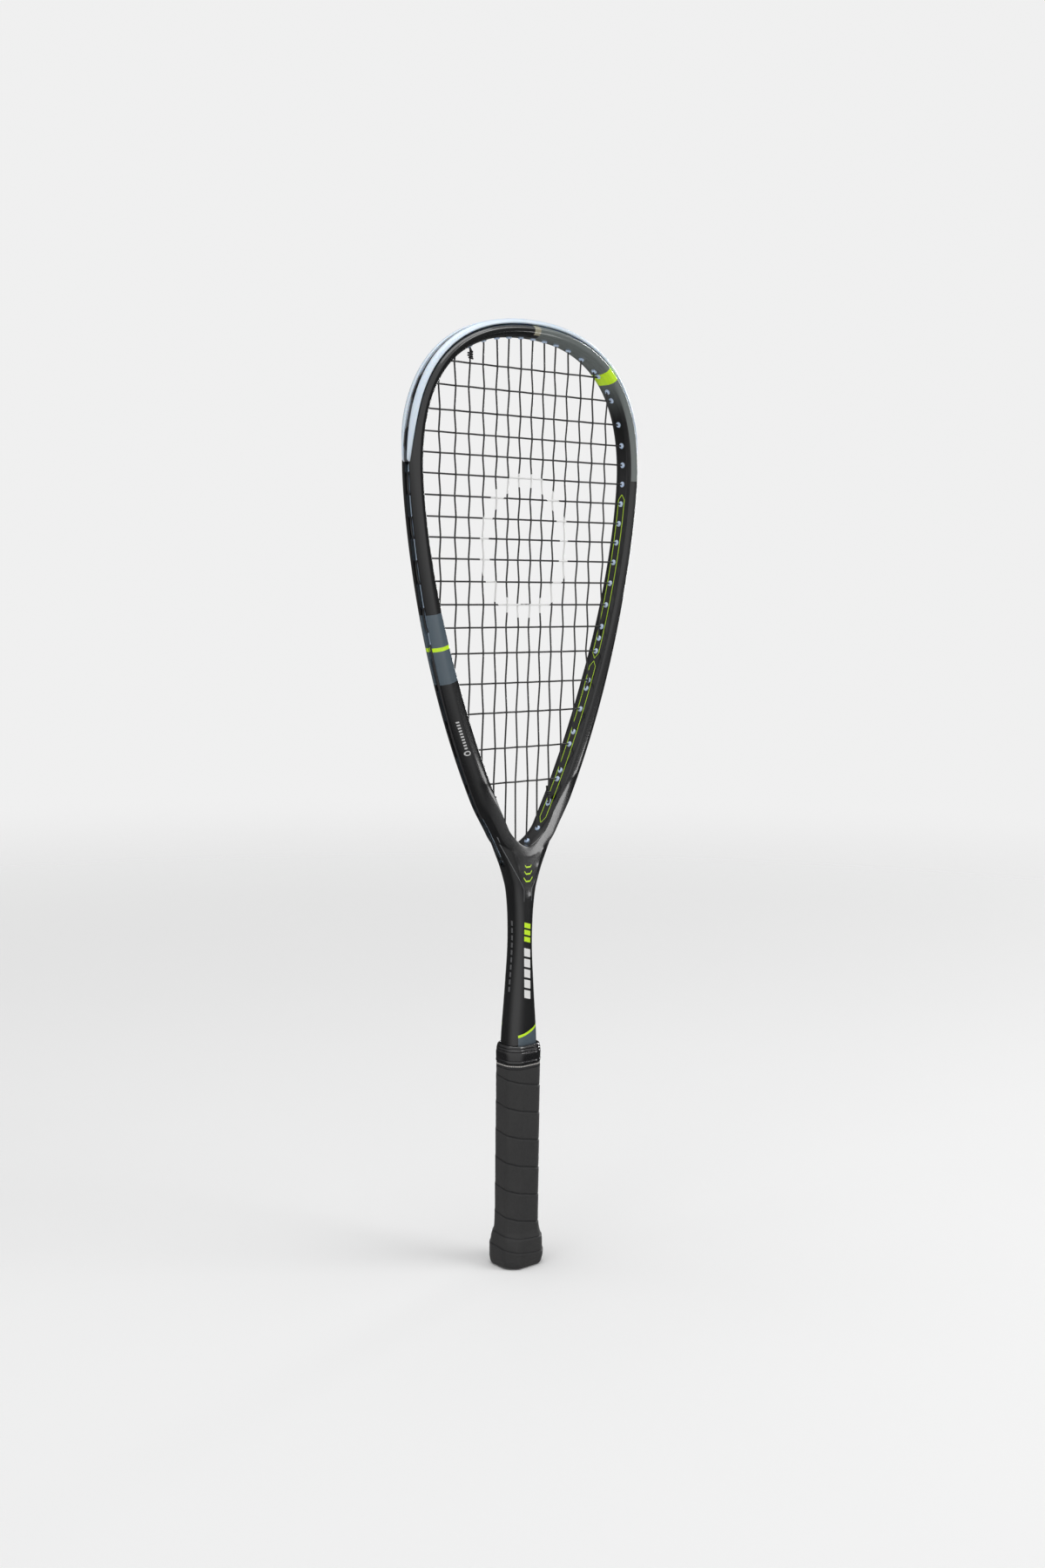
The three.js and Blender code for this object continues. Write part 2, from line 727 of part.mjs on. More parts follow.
function palletGeometry(turn) {
  const { halfWidth, halfDepth, bevel, bottom, top } = PALLET;
  const [, shaftWidth, shaftDepth] = SHAFT_RINGS[0];
  const seam = CLEAR / 2;
  const shape = new THREE.Shape();
  shape.moveTo(halfWidth, seam);
  shape.lineTo(halfWidth, halfDepth - bevel);
  shape.lineTo(halfWidth - bevel, halfDepth);
  shape.lineTo(bevel - halfWidth, halfDepth);
  shape.lineTo(-halfWidth, halfDepth - bevel);
  shape.lineTo(-halfWidth, seam);
  shape.lineTo(-shaftWidth - CLEAR, seam);
  shape.lineTo(-shaftWidth - CLEAR, shaftDepth + CLEAR);
  shape.lineTo(shaftWidth + CLEAR, shaftDepth + CLEAR);
  shape.lineTo(shaftWidth + CLEAR, seam);
  const geometry = new THREE.ExtrudeGeometry(shape, { depth: top - bottom, bevelEnabled: false });
  geometry.translate(0, 0, bottom);
  geometry.rotateZ(turn);
  return geometryOf(cutStaples(solid(geometry)));
}

// height, half width, half depth of the cap's outside
const CAP_OUTSIDE = [[0, 15.2, 13], [1.6, 16.4, 14.2], [8, 16.6, 14.4], [28, 15, 13]];

function buttCapGeometry() {
  const rings = CAP_OUTSIDE.map(([z, width, depth]) => octagonRing(z, width, depth, GRIP.bevel));
  const cavity = [PALLET.bottom - CLEAR, 30].map((z) => octagonRing(
    z, PALLET.halfWidth + CLEAR, PALLET.halfDepth + CLEAR, PALLET.bevel,
  ));
  const cup = solid(loft(rings)).subtract(solid(loft(cavity)));
  return geometryOf(cutStaples(cup));
}

function gripGeometry() {
  const outer = [
    [GRIP.bottom, 18, 15.8, GRIP.bevel],
    [6, 18.3, 16.1, GRIP.bevel],
    [11, 18, 15.8, GRIP.bevel],
    [28, 16.2, 14.2, GRIP.bevel],
    [36, 15.75, 13.75, GRIP.bevel],
    [GRIP.top, 15.75, 13.75, GRIP.bevel],
  ];
  const inner = [
    [GRIP.bottom, 16.8, 14.6, GRIP.bevel],
    [8, 16.95, 14.75, GRIP.bevel],
    [28.4, 15.35, 13.35, GRIP.bevel],
    [29, 14.35, 12.35, PALLET.bevel],
    [GRIP.top, 14.35, 12.35, PALLET.bevel],
  ];
  return sleeve(outer, inner);
}

function finishingTapeGeometry() {
  const bottom = GRIP.top + CLEAR;
  const top = COLLAR.bottom - CLEAR;
  const outer = [bottom, top].map((z) => [z, 15.6, 13.6, GRIP.bevel]);
  const inner = [[bottom, 14.35, 12.35, PALLET.bevel], [top, 14.35, 12.35, PALLET.bevel]];
  return sleeve(outer, inner);
}

function collarGeometry() {
  const outer = [
    [COLLAR.bottom, 15.6, 13.6, GRIP.bevel],
    [COLLAR.bottom + 1, 16, 14, GRIP.bevel],
    [COLLAR.top - 2, 15.7, 13.4, GRIP.bevel],
    [COLLAR.top, 14.4, 11.8, 5.5],
  ];
  const inner = [COLLAR.bottom, COLLAR.top].map((z) => [z, 13.3, 10.4, 3]);
  return sleeve(outer, inner);
}

// ---- the racket ----

const colours = {
  carbon: { color: 0x17181a, roughness: 0.35, metalness: 0.1 },
  bumper: { color: 0x9fb4c0, roughness: 0.35, metalness: 0 },
  grommet: { color: 0xa9bfca, roughness: 0.4, metalness: 0 },
  string: { color: 0x1b1c20, roughness: 0.3, metalness: 0 },
  foam: { color: 0xc9b98c, roughness: 0.9, metalness: 0 },
  cap: { color: 0x202124, roughness: 0.5, metalness: 0 },
  steel: { color: 0xb8bcc0, roughness: 0.3, metalness: 1 },
  grip: { color: 0x232427, roughness: 0.8, metalness: 0 },
  tape: { color: 0x2a2b2e, roughness: 0.5, metalness: 0 },
  rubber: { color: 0x141416, roughness: 0.25, metalness: 0 },
};

const racket = new THREE.Group();

function addPart(name, geometry, finish) {
  const mesh = new THREE.Mesh(geometry, new THREE.MeshStandardMaterial(colours[finish]));
  mesh.name = name;
  racket.add(mesh);
}

addPart('frame', frameGeometry(), 'carbon');
addPart('bumper_guard', bumperGeometry(), 'bumper');
addPart('grommet_strip_right', stripGeometry(1), 'grommet');
addPart('grommet_strip_left', stripGeometry(-1), 'grommet');
throatTunnels().forEach((tunnel, i) => {
  addPart(`throat_grommet_${i + 1}`, throatGrommetGeometry(tunnel), 'grommet');
});
addPart('main_string', stringGeometry(mainStringPoints()), 'string');
addPart('cross_string', stringGeometry(crossStringPoints()), 'string');
addPart('pallet_half_back', palletGeometry(0), 'foam');
addPart('pallet_half_front', palletGeometry(Math.PI), 'foam');
addPart('butt_cap', buttCapGeometry(), 'cap');
STAPLE_PLACES.forEach((place, i) => {
  addPart(`butt_cap_staple_${i + 1}`, placedStaple(place), 'steel');
});
addPart('grip_tape', gripGeometry(), 'grip');
addPart('finishing_tape', finishingTapeGeometry(), 'tape');
addPart('grip_collar', collarGeometry(), 'rubber');

export default racket;
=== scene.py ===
"""A squash racket standing on its butt: painted carbon frame, strung bed, bumper, grommets, wrapped handle.

Lengths are in millimetres up to the point where a piece is placed, and metres from there on.
Everything on the hoop is placed by stations along the inner face of its opening, numbered up the
right side, over the top and down the left side, as on the fixed frame.
"""
import math

import bpy
from mathutils import Matrix, Vector


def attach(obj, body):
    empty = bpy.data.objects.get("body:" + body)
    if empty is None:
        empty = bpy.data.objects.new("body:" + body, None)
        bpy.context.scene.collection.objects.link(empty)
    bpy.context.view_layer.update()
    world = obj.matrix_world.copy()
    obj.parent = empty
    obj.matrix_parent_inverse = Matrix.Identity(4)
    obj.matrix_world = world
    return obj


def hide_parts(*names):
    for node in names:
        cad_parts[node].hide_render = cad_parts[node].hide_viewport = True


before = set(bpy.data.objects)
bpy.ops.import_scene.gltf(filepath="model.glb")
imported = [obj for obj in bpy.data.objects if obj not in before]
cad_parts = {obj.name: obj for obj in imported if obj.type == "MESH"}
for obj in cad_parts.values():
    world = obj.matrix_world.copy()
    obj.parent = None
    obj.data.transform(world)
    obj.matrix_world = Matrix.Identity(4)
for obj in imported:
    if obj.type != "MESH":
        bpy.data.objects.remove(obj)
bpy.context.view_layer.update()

MM = 0.001

# ---- driving dimensions, in millimetres ----

OPENING_BOTTOM = 313.6
OPENING_TOP = 673
OPENING_HALF_WIDTH = 96.7
WIDEST_Z = 582
LEG_FOOT = Vector((18.3, 326.8))
LEG_ANGLE = 1.06
BEAM_HEAD, BEAM_LEG = 9.2, 14
BEAM_FROM, BEAM_TO = 560, 335
FOOT_NARROWER, FOOT_FROM, FOOT_TO = 2, 352, 326
GROOVE_FLOOR = -3
GROOVE_HALF = 2.3
GROOVE_TAIL = (Vector((16, 298)), Vector((23.4, 311.5)))

SHAFT_RINGS = [
    (8.3, 8.5, 7.5, 3), (152.3, 8.5, 7.5, 3), (154, 12.9, 10, 5), (166, 12.9, 10, 5),
    (178, 12.2, 9.9, 5), (191, 11.1, 9.6, 5), (204, 10, 9.3, 5), (217, 8.9, 9, 4.5),
    (230, 7.9, 8.7, 4.2), (243, 7.4, 8.5, 4), (255, 7.6, 8.5, 4), (268, 8.4, 8.6, 4),
    (281, 10.3, 8.8, 4), (290, 13.2, 9, 4), (300, 17.4, 9.1, 4), (311, 22.9, 9.2, 4),
    (320, 27, 9.1, 4), (334, 31, 7.5, 3.5),
]

STRING_RADIUS = 0.62
WEAVE = 0.8
FAN_Z = 480
FAN = 0.203 / 1000
MAIN_X = [5.4, 15.9, 26.5, 38, 50.5, 62.7, 76.2]
CROSS_Z = [
    651.4, 635.3, 618.5, 603.5, 589.5, 575.5, 561, 546.5, 532.5,
    518, 502.5, 486.5, 470.5, 452.5, 431, 410, 384.5, 359.5,
]
OUTER_MAIN_FOOT_Z = 462
STRING_TURN = 1.15
LANE = 1.5
LANE_RUN = 2.6
STRIP_INNER, STRIP_OUTER, STRIP_HALF = -2.8, -2.2, 2
BARREL_RADIUS, BARREL_HOLE, STRING_HOLE = 1.62, 1.75, 0.95
TIED_SHIFT = 0.9
BUMPER_CHANNEL = 0.4
BUMPER_CROSSES = 5
BUMPER_LEVEL = BUMPER_CHANNEL + 0.25 + STRING_RADIUS
STRIP_LEVEL = STRIP_OUTER + 0.25 + STRING_RADIUS
THROAT_EXIT_ALONG = 0.35

GRIP_BEVEL = 7
GRIP_TOP = 150
WRAP_PITCH = 20.7
COLLAR_BOTTOM, COLLAR_TOP = 153.7, 167


# ---- the hoop's stations ----

def cubic(points, t):
    a, b, c, d = points
    u = 1 - t
    return a * u ** 3 + b * (3 * u * u * t) + c * (3 * u * t * t) + d * t ** 3


def opening_curves():
    """The right half of the opening: three curves, each with its number of stations."""
    leg = Vector((math.cos(LEG_ANGLE), math.sin(LEG_ANGLE)))
    widest = Vector((OPENING_HALF_WIDTH, WIDEST_Z))
    top = Vector((0, OPENING_TOP))
    bottom = Vector((0, OPENING_BOTTOM))
    return [
        ((bottom, bottom + Vector((6, 0)), LEG_FOOT - 5.4 * leg, LEG_FOOT), 4),
        ((LEG_FOOT, LEG_FOOT + 140.5 * leg, Vector((OPENING_HALF_WIDTH, 559.5)), widest), 18),
        ((widest, Vector((OPENING_HALF_WIDTH, 639)), Vector((67, OPENING_TOP)), top), 14),
    ]


FOOT, WIDEST, TOP = 4, 22, 36
FINE = 40


def rim_table():
    """Point and outward direction at every fortieth of a station of the right half."""
    table = []
    for points, steps in opening_curves():
        samples = [cubic(points, i / 600) for i in range(601)]
        lengths = [0]
        for a, b in zip(samples, samples[1:]):
            lengths.append(lengths[-1] + (b - a).length)
        k = 0
        for i in range(0 if not table else 1, steps * FINE + 1):
            wanted = lengths[-1] * i / (steps * FINE)
            while k < 599 and lengths[k + 1] < wanted:
                k += 1
            part = (wanted - lengths[k]) / (lengths[k + 1] - lengths[k])
            along = (samples[k + 1] - samples[k]).normalized()
            table.append((samples[k].lerp(samples[k + 1], part), Vector((along.y, -along.x))))
    return table


RIM = rim_table()


def opposite(s):
    return 2 * TOP - s


def rim(s, out, y, shift=0):
    """The point at station s, `out` outward of the inner face, `y` through, `shift` along."""
    s = s % (2 * TOP)
    side = 1 if s <= TOP else -1
    place = (s if side > 0 else opposite(s)) * FINE
    i = min(int(place), len(RIM) - 2)
    point = RIM[i][0].lerp(RIM[i + 1][0], place - i)
    outward = RIM[i][1].lerp(RIM[i + 1][1], place - i).normalized()
    along = Vector((-outward.y, outward.x)) * side
    flat = point + outward * out + along * shift
    return Vector((side * flat.x, y, flat.y))


def smooth_part(value, low, high):
    """0 up to low, 1 from high on, and a smooth rise between."""
    part = min(max((value - low) / (high - low), 0), 1)
    return part * part * (3 - 2 * part)


def beam(s):
    z = rim(s, 0, 0).z
    head = smooth_part(z, BEAM_TO, BEAM_FROM)
    foot = 1 - smooth_part(z, FOOT_TO, FOOT_FROM)
    return BEAM_LEG + (BEAM_HEAD - BEAM_LEG) * head - FOOT_NARROWER * foot


def edge(s, out, y, shift=0):
    """As rim, with `out` measured from the beam's outer face."""
    return rim(s, beam(s) + out, y, shift)


def stations_for(distance, s):
    whole = math.floor(s)
    return distance / (rim(whole, 0, 0) - rim(whole + 1, 0, 0)).length


def stations_between(first, last):
    """Stations to step through from first to last, both included."""
    low, high = min(first, last), max(first, last)
    inner = list(range(math.ceil(low + 0.05), math.ceil(high - 0.05)))
    return [first, *(inner if first < last else inner[::-1]), last]


def find_station(miss, low, high):
    """The station between low and high where the miss of the string's turning point changes sign."""
    for _ in range(40):
        middle = (low + high) / 2
        if miss(rim(middle, -STRING_TURN, 0)) * miss(rim(low, -STRING_TURN, 0)) > 0:
            low = middle
        else:
            high = middle
    return (low + high) / 2


def groove_tail(along, out, y, side):
    """A point of the side groove below the foot of a leg."""
    leg_out = Vector((math.sin(LEG_ANGLE), -math.cos(LEG_ANGLE)))
    flat = GROOVE_TAIL[0].lerp(GROOVE_TAIL[1], along) + leg_out * out
    return Vector((side * flat.x, y, flat.y))


# ---- the string plan ----

class Main:
    """One main string: its number from the left, its place, and the stations of its two ends."""

    def __init__(self, number, x):
        self.number, self.x = number, x

        def miss(p):
            return p.x - self.across(p.z, abs(x))

        foot = (lambda p: p.z - OUTER_MAIN_FOOT_Z) if abs(x) == MAIN_X[-1] else miss
        ends = find_station(foot, 0, WIDEST), find_station(miss, WIDEST, TOP)
        self.bottom, self.top = [s if x > 0 else opposite(s) for s in ends]

    def across(self, z, x=None):
        return (self.x if x is None else x) * (1 + FAN * (z - FAN_Z))

    def shift(self, at):
        """How far the string keeps to one side of a hole that a tied-off end shares with it."""
        return {(3, "top"): -0.9, (4, "bottom"): -0.9, (5, "bottom"): -0.9, (10, "bottom"): 0.9}.get(
            (self.number, at), 0)

    def station(self, at):
        return self.top if at == "top" else self.bottom

    def turn(self, at):
        return rim(self.station(at), -STRING_TURN, 0, self.shift(at))

    def outer_turn(self, at):
        s = self.station(at)
        return edge(s, level(s), 0, self.shift(at))

    def run(self):
        """Across the bed from the top turn to the bottom turn."""
        high, low = self.turn("top"), self.turn("bottom")
        crossed = [c for c in CROSSES if low.z + 2 < c.z < high.z - 2]
        return [high, *(crossing(self, c)[0] for c in crossed), low]


class Cross:
    """One cross string: its number from the top, its height, and the stations of its two ends."""

    def __init__(self, number, z):
        self.number, self.z = number, z
        self.right = find_station(lambda p: p.z - z, 0, TOP)
        self.left = opposite(self.right)

    def run(self):
        """Across the bed from the left turn to the right turn."""
        points = [rim(self.left, -STRING_TURN, 0)]
        for main in MAINS:
            if main.turn("bottom").z + 2 < self.z < main.turn("top").z - 2:
                point, beside_rim = crossing(main, self)
                if not beside_rim:
                    points.append(Vector((point.x, -point.y, point.z)))
        return [*points, rim(self.right, -STRING_TURN, 0)]


def level(s):
    """Level outside the rim that a loop of string runs at."""
    return BUMPER_LEVEL if WIDEST - 0.05 < s < opposite(WIDEST) + 0.05 else STRIP_LEVEL


def crossing(main, cross):
    """Where a main passes a cross, and whether that is hard by the rim, where the cross runs straight."""
    over = 1 if (main.number + cross.number) % 2 else -1
    x = main.across(cross.z)
    reach = rim(cross.right, -STRING_TURN, 0).x
    if abs(x) > reach - 2:
        return Vector((math.copysign(reach - 0.3, x), over * LANE, cross.z)), True
    return Vector((x, over * WEAVE, cross.z)), False


MAINS = [Main(i + 1, x) for i, x in enumerate([*(-x for x in reversed(MAIN_X)), *MAIN_X])]
CROSSES = [Cross(i + 1, z) for i, z in enumerate(CROSS_Z)]


def rim_loop(first, last, lane, shift_first=0, shift_last=0):
    """A loop outside the rim between two holes."""
    way = math.copysign(1, last - first)
    start = first + way * stations_for(LANE_RUN, first)
    end = last - way * stations_for(LANE_RUN, last)
    points = [edge(first, level(first), 0, shift_first)]
    if shift_first:
        points.append(edge(first, level(first), lane, shift_first))
    points += [edge(s, level(s), lane) for s in stations_between(start, end)]
    if shift_last:
        points.append(edge(last, level(last), lane, shift_last))
    return [*points, edge(last, level(last), 0, shift_last)]


def throat_loop(middle, following):
    """The loop from a middle main, out of the throat's side, to the next main."""
    side = math.copysign(1, middle.x)
    return [
        groove_tail(THROAT_EXIT_ALONG, STRIP_LEVEL, 0, side),
        groove_tail(THROAT_EXIT_ALONG + 0.3, STRIP_LEVEL, -LANE, side),
        groove_tail(1, STRIP_LEVEL, -LANE, side),
        edge(following.bottom, STRIP_LEVEL, 0),
    ]


def knot(main, at, tail_shift):
    """Out of the hole beside a main, two and a half turns round it and a short free end."""
    s = main.station(at)
    run = main.run()
    turn, first = run[:2] if at == "top" else (run[-1], run[-2])
    axis = (first - turn).normalized()
    side = axis.cross(Vector((0, 1, 0)))
    radius = 2 * STRING_RADIUS + 0.28
    points = [rim(s, -STRING_TURN, 0, tail_shift), rim(s, -STRING_TURN, -LANE, tail_shift)]
    turns, steps = 2.5, 30
    for i in range(steps + 1):
        angle = 2 * math.pi * turns * i / steps
        centre = turn + axis * (3.2 + 1.6 * turns * i / steps)
        points.append(centre + side * radius * math.sin(angle) - Vector((0, radius * math.cos(angle), 0)))
    free_end = Vector((3.4, -0.6, -0.6)) if at == "top" else Vector((-0.9, -0.4, 3.6))
    return [*points, points[-1] + free_end * 0.4, points[-1] + free_end]


def main_tail(main, tied_to):
    """The tail of the outermost main: over the other loops to its tie-off hole, then the knot."""
    second = STRIP_LEVEL + 2 * STRING_RADIUS + 0.26
    way = math.copysign(1, tied_to.bottom - main.bottom)
    start = main.bottom + way * stations_for(LANE_RUN, main.bottom)
    shift = -tied_to.shift("bottom")
    run = [edge(s, second, -LANE) for s in stations_between(start, tied_to.bottom)][:-1]
    return [
        *run,
        edge(tied_to.bottom, second, -LANE, shift),
        edge(tied_to.bottom, STRIP_LEVEL, 0, shift),
        *knot(tied_to, "bottom", shift),
    ]


def main_half(order, tied_to):
    """Half of the main string, from its middle at the top of the head to one outermost main."""
    points = []
    for i, number in enumerate(order):
        main = MAINS[number - 1]
        down = i % 2 == 0
        points += main.run() if down else main.run()[::-1]
        if i == len(order) - 1:
            return [*points, main.outer_turn("bottom"), *main_tail(main, MAINS[tied_to - 1])]
        following = MAINS[order[i + 1] - 1]
        at = "bottom" if down else "top"
        if i == 0:
            points += throat_loop(main, following)
        else:
            points += rim_loop(
                main.station(at), following.station(at), -LANE, main.shift(at), following.shift(at))


def main_string_route():
    middle = rim_loop(MAINS[6].top, MAINS[7].top, -LANE)
    return [*main_half([7, 6, 5, 4, 3, 2, 1], 5)[::-1], *middle, *main_half([8, 9, 10, 11, 12, 13, 14], 10)]


def cross_string_route():
    first, last = CROSSES[0], CROSSES[-1]
    start, end = MAINS[2], MAINS[3]
    start_shift, end_shift = -start.shift("top"), -end.shift("bottom")
    points = [
        *knot(start, "top", start_shift)[::-1],
        edge(start.top, BUMPER_LEVEL, 0, start_shift),
        *rim_loop(start.top, first.left, LANE)[1:],
    ]
    for i, cross in enumerate(CROSSES):
        rightward = i % 2 == 0
        points += cross.run() if rightward else cross.run()[::-1]
        if cross is not last:
            following = CROSSES[i + 1]
            ends = (cross.right, following.right) if rightward else (cross.left, following.left)
            points += rim_loop(*ends, LANE)
    return [
        *points,
        edge(last.left, STRIP_LEVEL, 0),
        edge(last.left - stations_for(LANE_RUN, last.left), STRIP_LEVEL, LANE),
        edge(end.bottom, STRIP_LEVEL, LANE, end_shift),
        edge(end.bottom, STRIP_LEVEL, 0, end_shift),
        *knot(end, "bottom", end_shift),
    ]


# ---- making pieces ----

def deselect():
    if bpy.context.object and bpy.context.object.mode != "OBJECT":
        bpy.ops.object.mode_set(mode="OBJECT")
    bpy.ops.object.select_all(action="DESELECT")


def only(piece):
    deselect()
    piece.select_set(True)
    bpy.context.view_layer.objects.active = piece
    return piece


def edit(piece, select="SELECT"):
    only(piece)
    bpy.ops.object.mode_set(mode="EDIT")
    bpy.ops.mesh.select_all(action=select)


def done():
    bpy.ops.object.mode_set(mode="OBJECT")


def smooth(piece, angle=30):
    only(piece)
    bpy.ops.object.shade_smooth_by_angle(angle=math.radians(angle))


def wrapped_sheet(name, columns, rows, place):
    """A flat sheet carried to place(along, around), each from 0 to 1, sewn where its edges meet
    and filled where an end stays open."""
    deselect()
    bpy.ops.mesh.primitive_grid_add(x_subdivisions=columns, y_subdivisions=rows, size=1)
    piece = bpy.context.object
    piece.name = name
    for vertex in piece.data.vertices:
        vertex.co = place(vertex.co.x + 0.5, vertex.co.y + 0.5) * MM
    edit(piece)
    bpy.ops.mesh.remove_doubles(threshold=1e-6)
    bpy.ops.mesh.fill_holes(sides=0)
    bpy.ops.mesh.select_all(action="SELECT")
    bpy.ops.mesh.normals_make_consistent(inside=False)
    done()
    return piece


TUBE_ROUNDING = 3


def tube(name, route, radius):
    """A string of round section along the route."""
    deselect()
    bpy.ops.curve.primitive_nurbs_path_add()
    piece = bpy.context.object
    piece.name = name
    piece.data.splines.clear()
    spline = piece.data.splines.new("POLY")
    spline.points.add(len(route) - 1)
    for point, place in zip(spline.points, route):
        point.co = (*(place * MM), 1)
    piece.data.dimensions = "3D"
    piece.data.bevel_depth = radius * MM
    piece.data.bevel_resolution = TUBE_ROUNDING
    piece.data.use_fill_caps = True
    piece.location = (0, 0, 0)
    bpy.ops.object.convert(target="MESH")
    edit(piece)
    bpy.ops.mesh.remove_doubles(threshold=1e-7)
    bpy.ops.mesh.normals_make_consistent(inside=False)
    done()
    smooth(piece, 60)
    return piece


def eased(route):
    """The route with its corners rounded: wide at a gentle bend, tight at a hole."""
    points = [route[0]]
    for before, corner, after in zip(route, route[1:], route[2:]):
        back, ahead = before - corner, after - corner
        if back.length < 1e-6 or ahead.length < 1e-6:
            continue
        gentle = back.angle(ahead) > math.radians(150)
        reach = min(3.2 if gentle else 0.8, back.length * 0.48, ahead.length * 0.48)
        start, end = corner + back.normalized() * reach, corner + ahead.normalized() * reach
        for t in (0, 0.25, 0.5, 0.75, 1):
            points.append(start.lerp(corner, t).lerp(corner.lerp(end, t), t))
    return [*points, route[-1]]


def joined(pieces):
    deselect()
    for piece in pieces:
        piece.select_set(True)
    bpy.context.view_layer.objects.active = pieces[0]
    bpy.ops.object.join()
    return pieces[0]


def combine(piece, tool, operation):
    """Joins the tool to the piece or cuts it away, and uses the tool up."""
    only(piece)
    modifier = piece.modifiers.new("combine", "BOOLEAN")
    modifier.operation = operation
    modifier.object = tool
    modifier.solver = "MANIFOLD"
    bpy.ops.object.modifier_apply(modifier=modifier.name)
    bpy.data.objects.remove(tool)
    return piece


def rod(start, end, radius, vertices=20):
    """A plain round rod between two points, as a cutting tool."""
    deselect()
    axis = end - start
    bpy.ops.mesh.primitive_cylinder_add(vertices=vertices, radius=radius * MM, depth=axis.length * MM)
    piece = bpy.context.object
    turn = Vector((0, 0, 1)).rotation_difference(axis.normalized()).to_matrix().to_4x4()
    piece.data.transform(Matrix.Translation((start + end) / 2 * MM) @ turn)
    return piece


# ---- frame ----

# half of the beam's outline from the inner face: outward, and through
HEAD_FACE = [(0, 4.4), (0.5, 5.6), (1.2, 7.4), (2.4, 8.9), (4.4, 9.5)]
LEG_FACE = [(0, 4.4), (0.15, 6.4), (0.4, 8.1), (1.1, 9.1), (4.4, 9.5)]
# the rest of it: outward as a part of the beam's width, and through
OUTER_POINTS = [(0.66, 9.3), (0.87, 6.6), (1, 3.2)]


def spline_point(points, t):
    """A point at t from 0 to 1 on a smooth line through the points."""
    place = t * (len(points) - 1)
    i = min(int(place), len(points) - 2)
    u = place - i
    p1, p2 = points[i], points[i + 1]
    p0 = points[i - 1] if i else 2 * p1 - p2
    p3 = points[i + 2] if i + 2 < len(points) else 2 * p2 - p1
    return 0.5 * (2 * p1 + (p2 - p0) * u + (2 * p0 - 5 * p1 + 4 * p2 - p3) * u * u
                  + (3 * p1 - p0 - 3 * p2 + p3) * u ** 3)


HALF_ROWS = 28
FLAT_ROWS = 4
HOOP_STEPS = 6


def beam_outline(s):
    """The beam's closed outline at station s, starting on the inner face."""
    width = beam(s)
    crisp = (width - BEAM_HEAD) / (BEAM_LEG - BEAM_HEAD)
    points = [Vector(a).lerp(Vector(b), min(crisp * 1.6, 1)) for a, b in zip(HEAD_FACE, LEG_FACE)]
    points += [Vector((part * width, y)) for part, y in OUTER_POINTS]
    half = [spline_point(points, i / HALF_ROWS) for i in range(HALF_ROWS + 1)]
    inner = [Vector((0, 4.4 * i / FLAT_ROWS)) for i in range(FLAT_ROWS)]
    outer = [Vector((width, 3.2 * i / FLAT_ROWS)) for i in range(FLAT_ROWS - 1, -1, -1)]
    front = [*inner, *half, *outer]
    return front + [Vector((p.x, -p.y)) for p in reversed(front[1:-1])]


def hoop():
    columns = 2 * TOP * HOOP_STEPS
    rows = len(beam_outline(TOP))
    outlines = {}

    def place(along, around):
        station = round(along * columns) % columns
        if station not in outlines:
            outlines[station] = beam_outline(station / HOOP_STEPS)
        out, y = outlines[station][round(around * rows) % rows]
        return rim(station / HOOP_STEPS, out, y)

    return wrapped_sheet("frame_shell", columns, rows, place)


def shaft():
    """The shaft and the yoke of the throat, one smooth loft of rounded rings."""
    rings = [Vector(ring) for ring in SHAFT_RINGS[2:]]
    bottom = Vector(SHAFT_RINGS[1])
    columns, rows = 150, 96

    def ring_at(along):
        if along <= 0.02:
            return bottom if along > 0 else Vector(SHAFT_RINGS[0])
        return spline_point(rings, (along - 0.02) / 0.98)

    def place(along, around):
        z, half_width, half_depth, radius = ring_at(along)
        turn = 2 * math.pi * around
        # equal steps of angle on a superellipse spread the points over flats and corners alike
        flat = 2.0 / (2.0 + 2.2 * (1 - radius / half_depth))
        c, s = math.cos(turn), math.sin(turn)
        x = math.copysign(abs(c) ** flat, c) * half_width
        y = math.copysign(abs(s) ** flat, s) * half_depth
        return Vector((x, y, z))

    return wrapped_sheet("shaft_blank", columns, rows, place)


def groove_place(s, out, y, side):
    """A point of a side groove: on the rim above the leg's foot, and in the tail below it."""
    if s < FOOT:
        return groove_tail(1 - (FOOT - s), out, y, side)
    return edge(s if side > 0 else opposite(s), out, y)


def ease_ends(distance):
    """From 0 at the rounded end of a groove to 1 along its run."""
    part = min(distance / GROOVE_HALF, 1)
    return max(math.sqrt(max(1 - (1 - part) ** 2, 0)), 0.02)


def groove_tool():
    """The side groove's shape, from the tail in one leg round the head to the other tail."""
    tail = (GROOVE_TAIL[1] - GROOVE_TAIL[0]).length
    outline = [(3, -1), (0.2, -1), (0, -0.75), (0, 0.75), (0.2, 1), (3, 1)]
    half_stations = [FOOT - 1 + i / 12 for i in range(12)]
    half_stations += [FOOT + i / 4 for i in range((TOP - FOOT) * 4 + 1)]
    columns = 2 * (len(half_stations) - 1)

    def place(along, around):
        i = round(along * columns)
        side, k = (1, i) if i < len(half_stations) else (-1, columns - i)
        s = half_stations[k]
        corner, half = outline[round(around * len(outline)) % len(outline)]
        size = ease_ends(tail * (s - FOOT + 1)) if s < FOOT else 1
        out = corner if corner == 3 else GROOVE_FLOOR * size + corner
        return groove_place(s, out, half * GROOVE_HALF * size, side)

    return wrapped_sheet("groove_tool", columns, len(outline), place)


